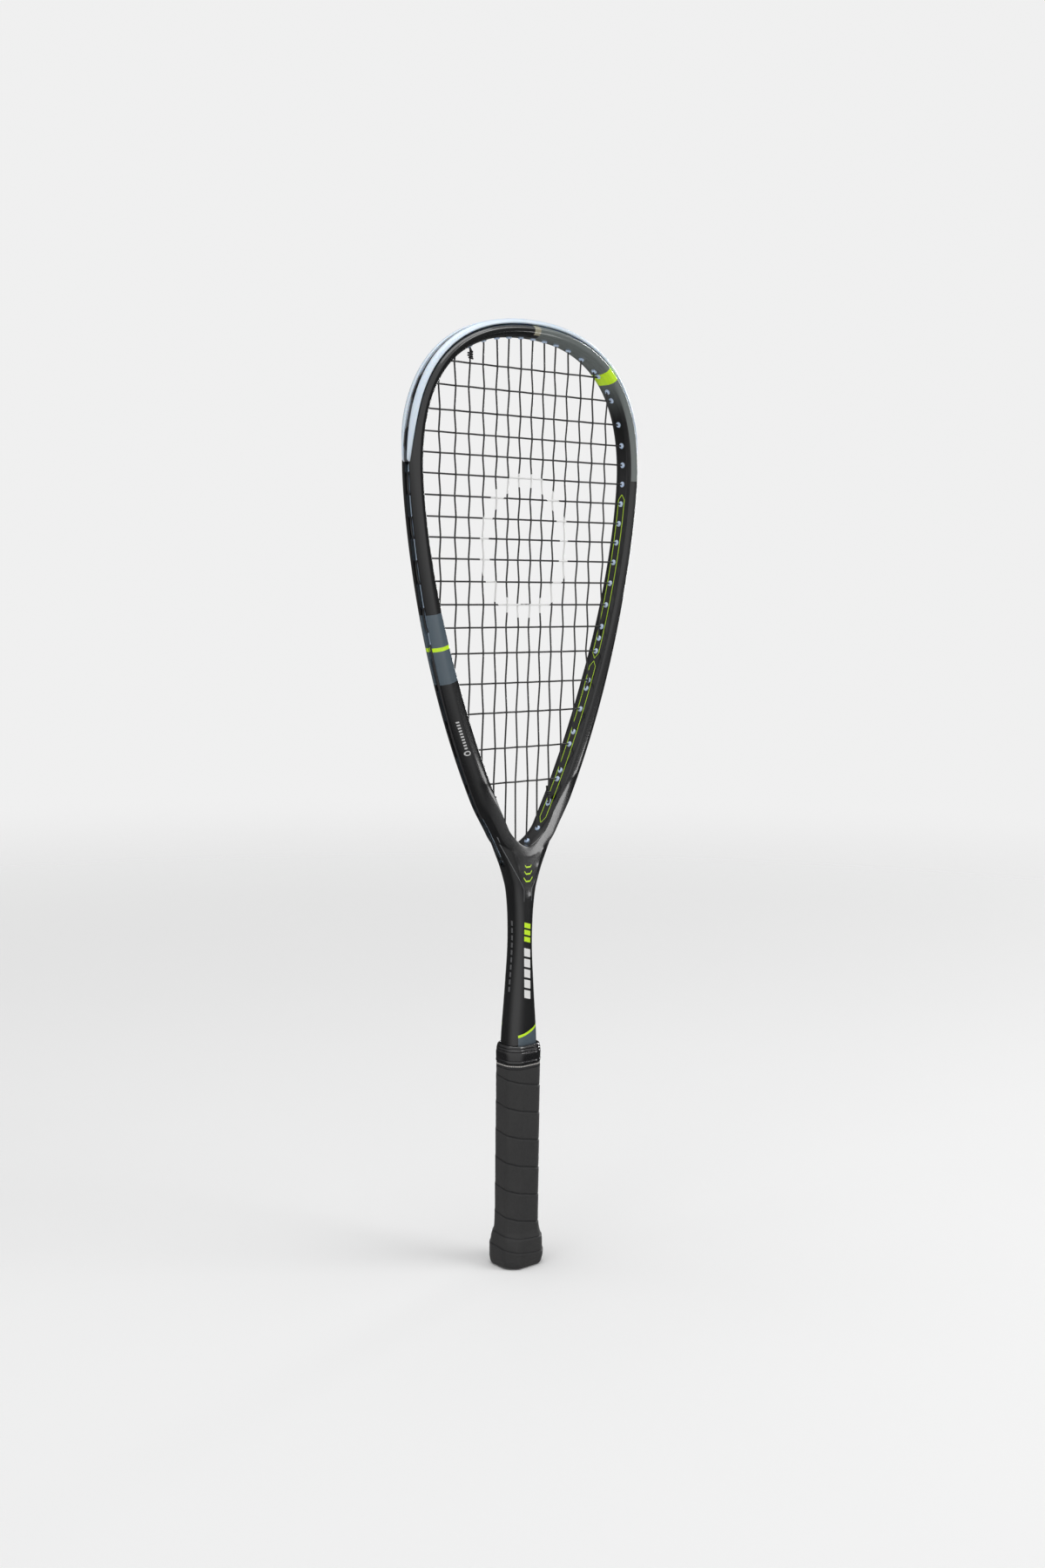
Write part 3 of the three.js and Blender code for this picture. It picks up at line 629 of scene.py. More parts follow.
def holes():
    """Every hole through the rim: its station, whether it is tied off, and whether the bumper has it."""
    found = []
    for cross in CROSSES:
        found += [(s, False, cross.number <= BUMPER_CROSSES) for s in (cross.right, cross.left)]
    for main in MAINS:
        found.append((main.top, main.shift("top") != 0, True))
        if main.number not in (6, 7, 8, 9):
            found.append((main.bottom, main.shift("bottom") != 0, False))
    return found


def throat_tunnels():
    """The four tunnels from the opening to the side grooves: inner and outer end."""
    tunnels = []
    for main in MAINS[5:9]:
        if main.number in (7, 8):
            outer = groove_tail(THROAT_EXIT_ALONG, GROOVE_FLOOR, 0, math.copysign(1, main.x))
        else:
            outer = edge(main.bottom, GROOVE_FLOOR, 0)
        tunnels.append((main.turn("bottom"), outer))
    return tunnels


def blend_throat(piece):
    """Evens out the faces where the legs run into the yoke, through the thickness only."""
    edit(piece, "DESELECT")
    done()
    for vertex in piece.data.vertices:
        x, y, z = vertex.co / MM
        vertex.select = 276 < z < 362 and abs(y) > 8.5
    only(piece)
    bpy.ops.object.mode_set(mode="EDIT")
    bpy.ops.mesh.select_mode(type="VERT")
    bpy.ops.mesh.vertices_smooth(factor=0.6, repeat=400, xaxis=False, yaxis=True, zaxis=False)
    done()


def make_frame():
    piece = hoop()
    opening = wrapped_sheet(
        "opening_tool", 1, 2 * TOP * 3,
        lambda along, around: rim(2 * TOP * around, 3.3, -12 + 24 * along))
    yoke = combine(shaft(), opening, "DIFFERENCE")
    combine(piece, yoke, "UNION")
    blend_throat(piece)
    combine(piece, groove_tool(), "DIFFERENCE")
    tools = []
    for s, tied, _ in holes():
        for shift in ((-TIED_SHIFT, TIED_SHIFT) if tied else (0,)):
            tools.append((rim(s, -3, 0, shift), edge(s, 0.5, 0, shift)))
    for turn, outer in throat_tunnels():
        way = (outer - turn).normalized()
        tools.append((turn - way * 2, outer + way * 5))
    for start, end in tools:
        combine(piece, rod(start, end, BARREL_HOLE), "DIFFERENCE")
    smooth(piece, 28)
    return piece


# ---- bumper and grommets ----

def barrel_blank(length):
    """A grommet barrel up the z axis from 0, with a domed flange at its lower end and a hole through."""
    deselect()
    bpy.ops.mesh.primitive_cylinder_add(
        vertices=18, radius=BARREL_RADIUS * MM, depth=length * MM, location=(0, 0, length / 2 * MM))
    piece = bpy.context.object
    bpy.ops.object.transform_apply(location=True, rotation=True, scale=True)
    edit(piece, "DESELECT")
    bpy.ops.mesh.select_mode(type="FACE")
    done()
    for face in piece.data.polygons:
        face.select = face.normal.z < -0.9
    bpy.ops.object.mode_set(mode="EDIT")
    bpy.ops.mesh.extrude_region_move(TRANSFORM_OT_translate={"value": (0, 0, -0.02 * MM)})
    bpy.ops.transform.resize(value=(1.28, 1.28, 1))
    bpy.ops.mesh.extrude_region_move(TRANSFORM_OT_translate={"value": (0, 0, -0.45 * MM)})
    bpy.ops.mesh.extrude_region_move(TRANSFORM_OT_translate={"value": (0, 0, -0.4 * MM)})
    bpy.ops.transform.resize(value=(0.86, 0.86, 1))
    bpy.ops.mesh.inset(thickness=0.4 * MM, depth=0.26 * MM)
    bpy.ops.mesh.inset(thickness=0.72 * MM, depth=0.1 * MM)
    bpy.ops.mesh.extrude_region_move(TRANSFORM_OT_translate={"value": (0, 0, (length + 0.4) * MM)})
    done()
    return piece


def barrels(ends):
    """A round barrel from each inner to each outer end."""
    made = []
    for inner, outer in ends:
        blank = barrel_blank((outer - inner).length)
        turn = Vector((0, 0, 1)).rotation_difference((outer - inner).normalized()).to_matrix().to_4x4()
        blank.data.transform(Matrix.Translation(inner * MM) @ turn)
        made.append(blank)
    return made


def hole_ends(wanted, outer_level):
    ends = []
    for s, tied, in_bumper in holes():
        if wanted(s, in_bumper):
            for shift in ((-TIED_SHIFT, TIED_SHIFT) if tied else (0,)):
                ends.append((rim(s, -0.05, 0, shift), edge(s, outer_level, 0, shift)))
    return ends


def rounded_outline(corners, radius, steps=3, between=0):
    """A closed outline with its corners rounded, and points between them on the straight runs."""
    points = []
    for i, corner in enumerate(corners):
        back, ahead = corners[i - 1] - corner, corners[(i + 1) % len(corners)] - corner
        reach = min(radius, back.length * 0.45, ahead.length * 0.45)
        start, end = corner + back.normalized() * reach, corner + ahead.normalized() * reach
        for k in range(steps + 1):
            t = k / steps
            points.append(start.lerp(corner, t).lerp(corner.lerp(end, t), t))
    whole = []
    for i, point in enumerate(points):
        whole.append(point)
        if i % (steps + 1) == steps:
            following = points[(i + 1) % len(points)]
            whole += [point.lerp(following, k / (between + 1)) for k in range(1, between + 1)]
    return whole


def bumper_outline(s):
    """The bumper's outline: a rib in the groove, a channel for the string, and two lobes that are
    highest over the top of the head and thin out towards the bumper's ends."""
    along = abs(s - TOP) / (TOP - WIDEST)
    height = 3 - along * along
    from_end = (TOP - WIDEST - abs(s - TOP)) / stations_for(1, WIDEST + 1)
    lobe = 0.16 + 0.84 * math.sin(min(from_end / 34, 1) * math.pi / 2) ** 0.9
    tip = max(math.sqrt(max(1 - (1 - min(from_end / 2.2, 1)) ** 2, 0)), 0.05)
    half = [(STRIP_INNER, 2), (0.25, 2), (0.25, 3.3), (-0.7, 6.9), (0.1, 7.7), (height - 1, 6.9),
            (height, 4.7), (height, 2.9), (height - 0.3, 2.3), (BUMPER_CHANNEL, 2.3)]
    points = []
    for out, y in half:
        wide = y if y <= 2.4 else 2.4 + (y - 2.4) * lobe
        high = out if out <= BUMPER_CHANNEL else BUMPER_CHANNEL + (out - BUMPER_CHANNEL) * tip
        points.append(Vector((high, wide)))
    return rounded_outline(points + [Vector((p.x, -p.y)) for p in reversed(points)], 1.1, 4, 3)


def make_bumper(band_finish, barrel_finish):
    columns = 2 * (TOP - WIDEST) * 8
    rows = len(bumper_outline(TOP))

    def place(along, around):
        s = WIDEST + 2 * (TOP - WIDEST) * along
        out, y = bumper_outline(s)[round(around * rows) % rows]
        return edge(s, out, y)

    band = wrapped_sheet("bumper_band", columns, rows, place)
    ends = hole_ends(lambda s, in_bumper: in_bumper, BUMPER_CHANNEL - 0.1)
    for inner, outer in ends:
        combine(band, rod(inner, outer + (outer - inner).normalized() * 2, STRING_HOLE, 14), "DIFFERENCE")
    dress(band, band_finish)
    ends_made = barrels([(a, b + (a - b).normalized() * 0.6) for a, b in ends])
    for barrel in ends_made:
        dress(barrel, barrel_finish)
    piece = joined([band, *ends_made])
    smooth(piece, 35)
    return piece


def make_strip(name, side, band_finish, barrel_finish):
    """The strip in a side groove, with its barrels."""
    lowest = FOOT - 0.9
    highest = WIDEST - stations_for(0.5, WIDEST - 1)
    columns = 190
    corners = [Vector(p) for p in (
        (STRIP_INNER, -STRIP_HALF), (STRIP_OUTER, -STRIP_HALF),
        (STRIP_OUTER, STRIP_HALF), (STRIP_INNER, STRIP_HALF))]
    outline = rounded_outline(corners, 0.25, 2)

    def place(along, around):
        s = lowest + (highest - lowest) * along
        size = ease_ends(min(along, 1 - along) * (highest - lowest) / stations_for(1, 12))
        out, y = outline[round(around * len(outline)) % len(outline)]
        return groove_place(s, out, y * size, side)

    band = wrapped_sheet(name + "_band", columns, len(outline), place)
    ends = hole_ends(
        lambda s, in_bumper: not in_bumper and (s < TOP if side > 0 else s > TOP), STRIP_OUTER + 0.12)
    tunnels = [tunnel for tunnel in throat_tunnels() if tunnel[0].x * side > 0]
    for inner, outer in ends + tunnels:
        combine(band, rod(inner, outer + (outer - inner).normalized() * 4, STRING_HOLE, 14), "DIFFERENCE")
    dress(band, band_finish)
    ends_made = barrels(ends)
    for barrel in ends_made:
        dress(barrel, barrel_finish)
    piece = joined([band, *ends_made])
    piece.name = name
    smooth(piece, 35)
    return piece


# ---- handle ----

def octagon_point(turn, half_width, half_depth, bevel, rounding):
    """A point of a rounded octagon at a turn from 0 to 1, counted from the right side."""
    angle = 2 * math.pi * turn
    c, s = math.cos(angle), math.sin(angle)
    diagonal = (half_width + half_depth - bevel) / math.sqrt(2)
    sides = [abs(c) / half_width, abs(s) / half_depth, (abs(c) + abs(s)) / math.sqrt(2) / diagonal]
    sharp = sum(side ** rounding for side in sides) ** (-1 / rounding)
    return Vector((c * sharp, s * sharp))


SLEEVE_TURNS = 96


def sleeve(name, profile, columns, rounding):
    """A sleeve round the handle, from a closed profile of (height, half width, half depth, bevel)."""
    points = [Vector(ring) for ring in profile]

    def ring_at(along):
        return spline_point([*points, points[0]], along)

    def place(along, around):
        z, half_width, half_depth, bevel = ring_at(along)
        flat = octagon_point(around, half_width, half_depth, bevel, rounding)
        return Vector((flat.x, flat.y, z))

    return wrapped_sheet(name, columns, SLEEVE_TURNS, place)


GRIP_FACE = [
    (0.9, 15.6, 13.4), (0.7, 16.7, 14.5), (1.4, 17.6, 15.4), (3.2, 18.1, 15.9),
    (6, 18.3, 16.1), (11, 18.2, 16),
    (17, 17.95, 15.75), (21, 17.5, 15.3), (24, 16.8, 14.7), (27, 16.2, 14.2), (32, 15.85, 13.85),
    (38, 15.75, 13.75), (GRIP_TOP, 15.75, 13.75),
]


def grip_half_width(z):
    for (z1, w1, d1), (z2, w2, d2) in zip(GRIP_FACE[3:], GRIP_FACE[4:]):
        if z <= z2:
            part = (z - z1) / (z2 - z1)
            return w1 + (w2 - w1) * part, d1 + (d2 - d1) * part
    return GRIP_FACE[-1][1:]


def wrap_place(z, around):
    """Where a height and turn lie across the tape: 0 at its upper, exposed edge and 1 at the next seam."""
    seam = (z - WRAP_START) / WRAP_PITCH + around
    return 1 - (seam - math.floor(seam))


WRAP_START = 8.5


def wrap_lift(z, around):
    """Height of the spiral tape's face: each wrap rises over the one before and ends in a soft edge."""
    across = wrap_place(z, around)
    rise = 0.28 * (1 - across) ** 0.7
    near_seam = min(across, 1 - across) * WRAP_PITCH
    return rise - 0.42 * math.exp(-(near_seam / 0.55) ** 2) - 0.14


# the seams round the flare: height, tilt and depth
FLARE_SEAMS = ((23.5, 2.2, 0.6), (13.6, 3.2, 0.65))


def flare_lift(z, around):
    """The tape's first turns, wound over each other round the flare."""
    lift = 0
    for start, slope, depth in FLARE_SEAMS:
        seam = start + slope * math.sin(2 * math.pi * (around - 0.12))
        distance = z - seam
        lift += depth * (0.5 - 0.5 * math.tanh(distance / 0.35)) * math.exp(-max(-distance, 0) / 7)
        lift -= depth * 0.6 * math.exp(-(distance / 0.45) ** 2)
    return lift


def make_grip():
    rows_up = 620
    height = GRIP_TOP - 3.2

    def face(part):
        z = 3.2 + height * part
        half_width, half_depth = grip_half_width(z)
        return z, half_width, half_depth

    outside = [Vector(ring) for ring in GRIP_FACE[:4]]
    inner_top = Vector((GRIP_TOP, 14.4, 12.4))
    inner_low = Vector((2.0, 15.6, 13.4))
    under = 12
    columns = rows_up + under + 3

    def place(along, around):
        i = round(along * columns)
        if i < under:
            z, half_width, half_depth = spline_point(outside, i / under)
        elif i <= under + rows_up:
            z, half_width, half_depth = face((i - under) / rows_up)
        elif i == under + rows_up + 1:
            z, half_width, half_depth = inner_top
        elif i == under + rows_up + 2:
            z, half_width, half_depth = inner_low
        else:
            z, half_width, half_depth = outside[0]
        flat = octagon_point(around, half_width, half_depth, GRIP_BEVEL, 22)
        if under <= i <= under + rows_up:
            fade = min(1, (z - 3.2) / 2)
            on_shaft = min(max((z - 24) / 6, 0), 1)
            lift = on_shaft * wrap_lift(z, around) + (1 - on_shaft) * flare_lift(z, around)
            flat += flat.normalized() * lift * fade
        return Vector((flat.x, flat.y, z))

    piece = wrapped_sheet("grip_wrap", columns, 112, place)
    smooth(piece, 50)
    return piece


def make_collar():
    low, top = COLLAR_BOTTOM, COLLAR_TOP
    outside = [
        (low, 15.4, 13.4, 7), (low + 0.5, 15.9, 13.9, 7), (low + 1.2, 16.05, 14.05, 7),
        (low + 2.0, 15.95, 13.95, 7),
        (low + 2.5, 15.75, 13.75, 7), (low + 3.2, 15.9, 13.9, 7), (low + 6.5, 16.0, 14.0, 7),
        (low + 8.2, 15.9, 13.85, 7), (low + 9.0, 15.55, 13.45, 6.8), (low + 9.6, 15.75, 13.6, 6.8),
        (low + 10.4, 15.6, 13.4, 6.6), (low + 11.0, 15.2, 12.9, 6.4), (low + 11.8, 15.25, 12.9, 6.2),
        (low + 12.7, 14.9, 12.4, 6), (top, 14.2, 11.7, 5.6), (top - 0.1, 13.3, 10.6, 4.4),
    ]
    inner = [(top - 1.5, 13.1, 10.2, 4), (low + 1.5, 13.1, 10.2, 4), (low + 0.1, 13.6, 11.4, 5)]
    piece = sleeve("grip_collar_rubber", [*outside, *inner], 150, 20)
    smooth(piece, 50)
    return piece


def make_finishing_tape():
    low, top = GRIP_TOP + 0.2, COLLAR_BOTTOM - 0.2
    profile = [
        (low, 15.3, 13.3, 7), (low + 0.3, 15.65, 13.65, 7), ((low + top) / 2, 15.75, 13.75, 7),
        (top - 0.3, 15.65, 13.65, 7), (top, 15.3, 13.3, 7), (top, 14.5, 12.5, 6.6), (low, 14.5, 12.5, 6.6),
    ]
    piece = sleeve("finishing_tape_band", profile, 42, 22)
    smooth(piece, 50)
    return piece


def make_butt_cap():
    """The cap: an octagonal cup with a rounded lower edge and a shallow dish in its base."""
    deselect()
    bpy.ops.mesh.primitive_circle_add(vertices=8, radius=1, fill_type="NGON")
    piece = bpy.context.object
    piece.name = "butt_cap_moulding"
    corners = []
    half_width, half_depth, bevel = 15.4, 13.2, GRIP_BEVEL
    for sx, sy, first in ((1, 1, True), (1, 1, False), (-1, 1, False), (-1, 1, True),
                          (-1, -1, True), (-1, -1, False), (1, -1, False), (1, -1, True)):
        x, y = (half_width, half_depth - bevel) if first else (half_width - bevel, half_depth)
        corners.append(Vector((sx * x, sy * y, 0)))
    order = sorted(range(8), key=lambda i: math.atan2(
        piece.data.vertices[i].co.y, piece.data.vertices[i].co.x) % (2 * math.pi))
    corners.sort(key=lambda corner: math.atan2(corner.y, corner.x) % (2 * math.pi))
    for i, corner in zip(order, corners):
        piece.data.vertices[i].co = (corner + Vector((0, 0, 28))) * MM
    edit(piece)
    bpy.ops.mesh.extrude_region_move(TRANSFORM_OT_translate={"value": (0, 0, -25 * MM)})
    bpy.ops.transform.resize(value=(1.05, 1.05, 1))
    bpy.ops.mesh.extrude_region_move(TRANSFORM_OT_translate={"value": (0, 0, -2.5 * MM)})
    bpy.ops.transform.resize(value=(0.985, 0.985, 1))
    bpy.ops.mesh.extrude_region_move(TRANSFORM_OT_translate={"value": (0, 0, -0.5 * MM)})
    bpy.ops.transform.resize(value=(0.95, 0.95, 1))
    bpy.ops.mesh.inset(thickness=2.2 * MM)
    bpy.ops.mesh.inset(thickness=0.6 * MM, depth=0.6 * MM)
    bpy.ops.mesh.select_all(action="SELECT")
    bpy.ops.mesh.normals_make_consistent(inside=False)
    done()
    only(piece)
    bevel_edges = piece.modifiers.new("soft_edges", "BEVEL")
    bevel_edges.width = 0.5 * MM
    bevel_edges.segments = 3
    bevel_edges.limit_method = "ANGLE"
    bpy.ops.object.modifier_apply(modifier=bevel_edges.name)
    cavity = rod(Vector((0, 0, 7.7)), Vector((0, 0, 30)), 11.5, 48)
    combine(piece, cavity, "DIFFERENCE")
    smooth(piece, 30)
    return piece


# ---- finishes ----

class Field:
    """A number that varies over a surface, worked out by the finish's own nodes."""

    def __init__(self, tree, socket):
        self.tree, self.socket = tree, socket

    def do(self, operation, *others):
        node = self.tree.nodes.new("ShaderNodeMath")
        node.operation = operation
        for socket, value in zip(node.inputs, (self, *others)):
            if isinstance(value, Field):
                self.tree.links.new(value.socket, socket)
            else:
                socket.default_value = value
        return Field(self.tree, node.outputs[0])

    def __add__(self, other):
        return self.do("ADD", other)

    def __sub__(self, other):
        return self.do("SUBTRACT", other)

    def __mul__(self, other):
        return self.do("MULTIPLY", other)

    def __truediv__(self, other):
        return self.do("DIVIDE", other)

    def __abs__(self):
        return self.do("ABSOLUTE")

    def above(self, limit):
        return self.do("GREATER_THAN", limit)

    def below(self, limit):
        return self.do("LESS_THAN", limit)

    def within(self, low, high):
        return self.above(low) * self.below(high)

    def either(self, other):
        return self.do("MAXIMUM", other)

    def least(self, other):
        return self.do("MINIMUM", other)

    def repeat(self, period, fill):
        """1 over the first `fill` of each period."""
        return (self / period).do("FRACT").below(fill)

    def ramp(self, low, high):
        """0 below low, 1 above high, and smooth between."""
        node = self.tree.nodes.new("ShaderNodeMapRange")
        node.interpolation_type = "SMOOTHSTEP"
        self.tree.links.new(self.socket, node.inputs["Value"])
        node.inputs["From Min"].default_value = low
        node.inputs["From Max"].default_value = high
        return Field(self.tree, node.outputs["Result"])


class Finish:
    """A procedural material. Its x, y and z are the surface's own place, in millimetres."""

    def __init__(self, name, colour, roughness, **sockets):
        self.material = bpy.data.materials.new(name)
        self.material.use_nodes = True
        self.material.diffuse_color = (*colour, 1)
        self.tree = self.material.node_tree
        self.shader = self.tree.nodes["Principled BSDF"]
        self.shader.inputs["Roughness"].default_value = roughness
        for socket, value in sockets.items():
            self.shader.inputs[socket.replace("_", " ")].default_value = value
        self.place = self.tree.nodes.new("ShaderNodeTexCoord")
        self.x, self.y, self.z = [axis * 1000 for axis in self.axes("Object")]
        self.across, self.through, self.up = self.axes("Normal")
        self.colour = None
        self.base = colour

    def axes(self, output):
        split = self.tree.nodes.new("ShaderNodeSeparateXYZ")
        self.tree.links.new(self.place.outputs[output], split.inputs[0])
        return [Field(self.tree, socket) for socket in split.outputs]

    def noise(self, scale, detail=3, stretch=(1, 1, 1)):
        """Cloudy variation about 0.5. The scale is in spots to the metre."""
        mapping = self.tree.nodes.new("ShaderNodeMapping")
        mapping.inputs["Scale"].default_value = stretch
        self.tree.links.new(self.place.outputs["Object"], mapping.inputs["Vector"])
        node = self.tree.nodes.new("ShaderNodeTexNoise")
        node.inputs["Scale"].default_value = scale
        node.inputs["Detail"].default_value = detail
        self.tree.links.new(mapping.outputs[0], node.inputs["Vector"])
        return Field(self.tree, node.outputs["Fac"])

    def cells(self, scale):
        """Distance from the middle of small cells, for grain."""
        node = self.tree.nodes.new("ShaderNodeTexVoronoi")
        node.inputs["Scale"].default_value = scale
        self.tree.links.new(self.place.outputs["Object"], node.inputs["Vector"])
        return Field(self.tree, node.outputs["Distance"])

    def paint(self, mask, colour):
        """A layer of colour where the mask is 1."""
        mix = self.tree.nodes.new("ShaderNodeMix")
        mix.data_type = "RGBA"
        self.tree.links.new(mask.socket, mix.inputs[0])
        under, over = [socket for socket in mix.inputs if socket.type == "RGBA"][:2]
        if self.colour is None:
            under.default_value = (*self.base, 1)
        else:
            self.tree.links.new(self.colour, under)
        over.default_value = (*colour, 1)
        self.colour = [socket for socket in mix.outputs if socket.type == "RGBA"][0]
        self.tree.links.new(self.colour, self.shader.inputs["Base Color"])

    def roughen(self, field):
        self.tree.links.new(field.socket, self.shader.inputs["Roughness"])

    def bump(self, field, height):
        """Fine relief, its height in millimetres."""
        node = self.tree.nodes.new("ShaderNodeBump")
        node.inputs["Distance"].default_value = height * MM
        node.inputs["Strength"].default_value = 1
        self.tree.links.new(field.socket, node.inputs["Height"])
        self.tree.links.new(node.outputs[0], self.shader.inputs["Normal"])


BLACK = (0.006, 0.0062, 0.007)
SLATE = (0.085, 0.115, 0.14)
MID_GREY = (0.15, 0.17, 0.165)
LIME = (0.62, 0.95, 0.02)
WHITE = (0.85, 0.85, 0.84)


def past(finish, s):
    """1 beyond station s, counted up the right side and down the left, by a plane square to the rim."""
    here, ahead = rim(s, 0, 0), rim(s, 0, 0, 1)
    way = ahead - here
    return (finish.x * way.x + finish.z * way.z - here.dot(way)).above(0)


def along_leg(finish, s):
    """Distance along and out from the rim at station s."""
    here, ahead, out = rim(s, 0, 0), rim(s, 0, 0, 1) - rim(s, 0, 0), rim(s, 1, 0) - rim(s, 0, 0)
    run = finish.x * ahead.x + finish.z * ahead.z - here.dot(ahead)
    reach = finish.x * out.x + finish.z * out.z - here.dot(out)
    return run, reach


def frame_finish():
    """Black lacquer over carbon, with painted bands, outlines and plain marks."""
    paint = Finish("frame_lacquer", BLACK, 0.3, Coat_Weight=0.8, Coat_Roughness=0.07)
    x, y, z = paint.x, paint.y, paint.z
    right, left = x.above(0), x.below(0)
    # the same marks are on both faces, each read from its own side
    facing = y.below(0) * 2 - 1
    own_x = x * facing
    on_face = abs(paint.through).above(0.45)
    to_middle = paint.across * x + paint.up * (z - 540)
    inner_face = (to_middle / ((x * x + (z - 540) * (z - 540)).do("SQRT") + 1)).below(-0.42) * \
        abs(paint.through).below(0.5)
    outside = inner_face * -1 + 1

    paint.paint(paint.noise(55, 4), (0.009, 0.0095, 0.01))

    # right of the head: grey from the top down, black on the inner face below the lime band
    cross_hole = CROSSES[0].right
    band_top = cross_hole + stations_for(1.4, cross_hole)
    band_foot = cross_hole - stations_for(8.6, cross_hole)
    grey_right = x.above(5) * z.above(577.5)
    grey_inside = z.ramp(618, 655)
    paint.paint(grey_right * outside.either(grey_inside), MID_GREY)
    lime_band = right * z.above(620) * past(paint, band_foot) * (past(paint, band_top) * -1 + 1)
    paint.paint(lime_band, LIME)
    paint.paint(x.within(-0.5, 5) * z.above(660) * outside, (0.36, 0.34, 0.25))

    # left leg: slate band with a lime ring
    def left_band(high, low):
        top, foot = [find_station(lambda p, height=height: p.z - height, FOOT, WIDEST)
                     for height in (high, low)]
        below_top = past(paint, opposite(top))
        above_foot = past(paint, opposite(foot)) * -1 + 1
        return left * z.within(400, 520) * below_top * above_foot

    paint.paint(left_band(482, 435.5) * outside, SLATE)
    paint.paint(left_band(460.2, 457.6), LIME)

    # lime outline round the grommets on the inner face, in two runs with pointed ends
    def outline(high, low):
        half = ((z * -1 + high) * 0.8).least((z - low) * 0.8).least(3.1)
        return abs(abs(y) - half).below(0.28) * z.within(low, high)

    paint.paint(inner_face * right * outline(568, 447).either(outline(445, 328)), LIME)

    # throat: seams of the yoke and three small chevrons
    spread = abs(x) - (z - 282).do("MAXIMUM", 0) * 0.607 - 3.6
    seam = abs(spread * (z.above(282) * -0.145 + 1)).below(0.2) * z.within(273, 322) * on_face
    paint.paint(seam, (0.13, 0.135, 0.14))
    for middle, half_width in ((299, 3.0), (294, 3.6), (288.6, 4.2)):
        bend = (abs(x) - 1.9).do("MAXIMUM", 0) * 1.25
        line = abs(z - bend - (middle - 1)).below(0.5) * abs(x).below(half_width) * on_face
        paint.paint(line, LIME)

    # shaft: plain slanted bars, white then lime, and a row of dashes on each side
    slant = z + own_x * 0.3
    column = abs(own_x).below(2.9) * on_face
    paint.paint(column * slant.within(201.3, 239.6) * (slant - 201.3).repeat(7.68, 0.78), WHITE)
    paint.paint(column * slant.within(242.9, 257.6) * (slant - 242.9).repeat(5.1, 0.72), LIME)
    dashes = abs(paint.across).above(0.8) * z.within(206, 260) * (z - 206).repeat(5.4, 0.66)
    paint.paint(dashes * abs(y).below(0.9), (0.11, 0.11, 0.115))

    # foot of the shaft: a lime sweep over slate, on the face and one side
    sweep = (own_x + 8).do("MAXIMUM", 0)
    edge_height = sweep * 0.12 + sweep * sweep * 0.0145 + 172.9
    panel = own_x.above(-8.2) * z.below(200) * y.below(0).either(on_face)
    paint.paint(panel * (z - edge_height).below(0), SLATE)
    paint.paint(panel * (z - edge_height).within(0, 1.9), LIME)

    # left leg: a row of fine ticks
    leg = opposite(find_station(lambda p: p.z - 398, FOOT, WIDEST))
    run, reach = along_leg(paint, leg)
    ticks = run.within(-14, 8) * run.repeat(2.2, 0.5) * reach.within(9.2, 10.8) * left * y.below(-4)
    ring = ((run - 11) * (run - 11) + (reach - 10) * (reach - 10)).do("SQRT")
    paint.paint(ticks.either(ring.within(1.1, 1.8) * left * y.below(-4)), (0.6, 0.6, 0.6))

    paint.roughen(paint.noise(240, 3) * 0.08 + 0.2 + inner_face * 0.1)
    paint.bump(paint.noise(900, 2) + seam * -3, 0.02)
    return paint.material


def nylon_finish(name, colour, cloud, channel=False):
    nylon = Finish(name, colour, 0.34, Subsurface_Weight=0.25, Subsurface_Radius=(0.002, 0.003, 0.004),
                   Coat_Weight=0.25, Coat_Roughness=0.25)
    nylon.shader.inputs["Subsurface Scale"].default_value = 0.6
    nylon.paint(nylon.noise(90, 4), cloud)
    if channel:
        # painted shade: with channel set, everything within 2.25 mm of the middle, the string channel, is
        # painted dark for the shade that falls in the deep, narrow channel
        nylon.paint(abs(nylon.y).below(2.25), (0.05, 0.055, 0.065))
    nylon.roughen(nylon.noise(420, 3) * 0.18 + 0.26)
    nylon.bump(nylon.noise(1500, 3), 0.02)
    return nylon.material


def string_finish():
    """Dark coated string with a plain white ring stencilled on the bed."""
    string = Finish("coated_string", (0.018, 0.017, 0.018), 0.32, Coat_Weight=0.3, Coat_Roughness=0.2)
    string.paint(string.noise(700, 2, (1, 1, 0.15)), (0.034, 0.033, 0.034))
    ragged = string.noise(500, 2) * 1.6 - 0.8
    from_middle = (string.x * string.x + ((string.z - 528) * 0.82) * ((string.z - 528) * 0.82)).do("SQRT")
    string.paint((from_middle + ragged).within(34, 42), (0.82, 0.82, 0.81))
    string.roughen(string.noise(900, 2) * 0.2 + 0.24)
    string.bump(string.noise(4200, 2), 0.02)
    return string.material


def grip_finish():
    """Soft wrap with fine pores, painted shade in its seams and slightly shiny where it is handled."""
    grip = Finish("soft_wrap", (0.018, 0.018, 0.019), 0.64, Sheen_Weight=0.16, Sheen_Roughness=0.45)
    around = grip.y.do("ARCTAN2", grip.x) / (2 * math.pi)
    across = ((grip.z - WRAP_START) / WRAP_PITCH + around + 10).do("FRACT")
    seam = across.below(0.035).either(across.above(0.975)) * grip.z.above(27)
    grip.paint(grip.noise(60, 4, (1, 1, 0.5)), (0.032, 0.0315, 0.031))
    for start, slope, _ in FLARE_SEAMS:
        height = (around * (2 * math.pi) - 0.24 * math.pi).do("SINE") * slope + start
        seam = seam.either(abs(grip.z - height).below(0.5))
    # painted shade: the spiral's seams and the flare's seams are painted near black for the shade in the
    # creases where one turn lies over the next
    grip.paint(seam, (0.006, 0.006, 0.007))
    grip.roughen(grip.noise(130, 4) * 0.3 + 0.46)
    pores = grip.cells(2300) * 0.8 + grip.noise(700, 4) * 1.2
    grip.bump(pores, 0.09)
    return grip.material


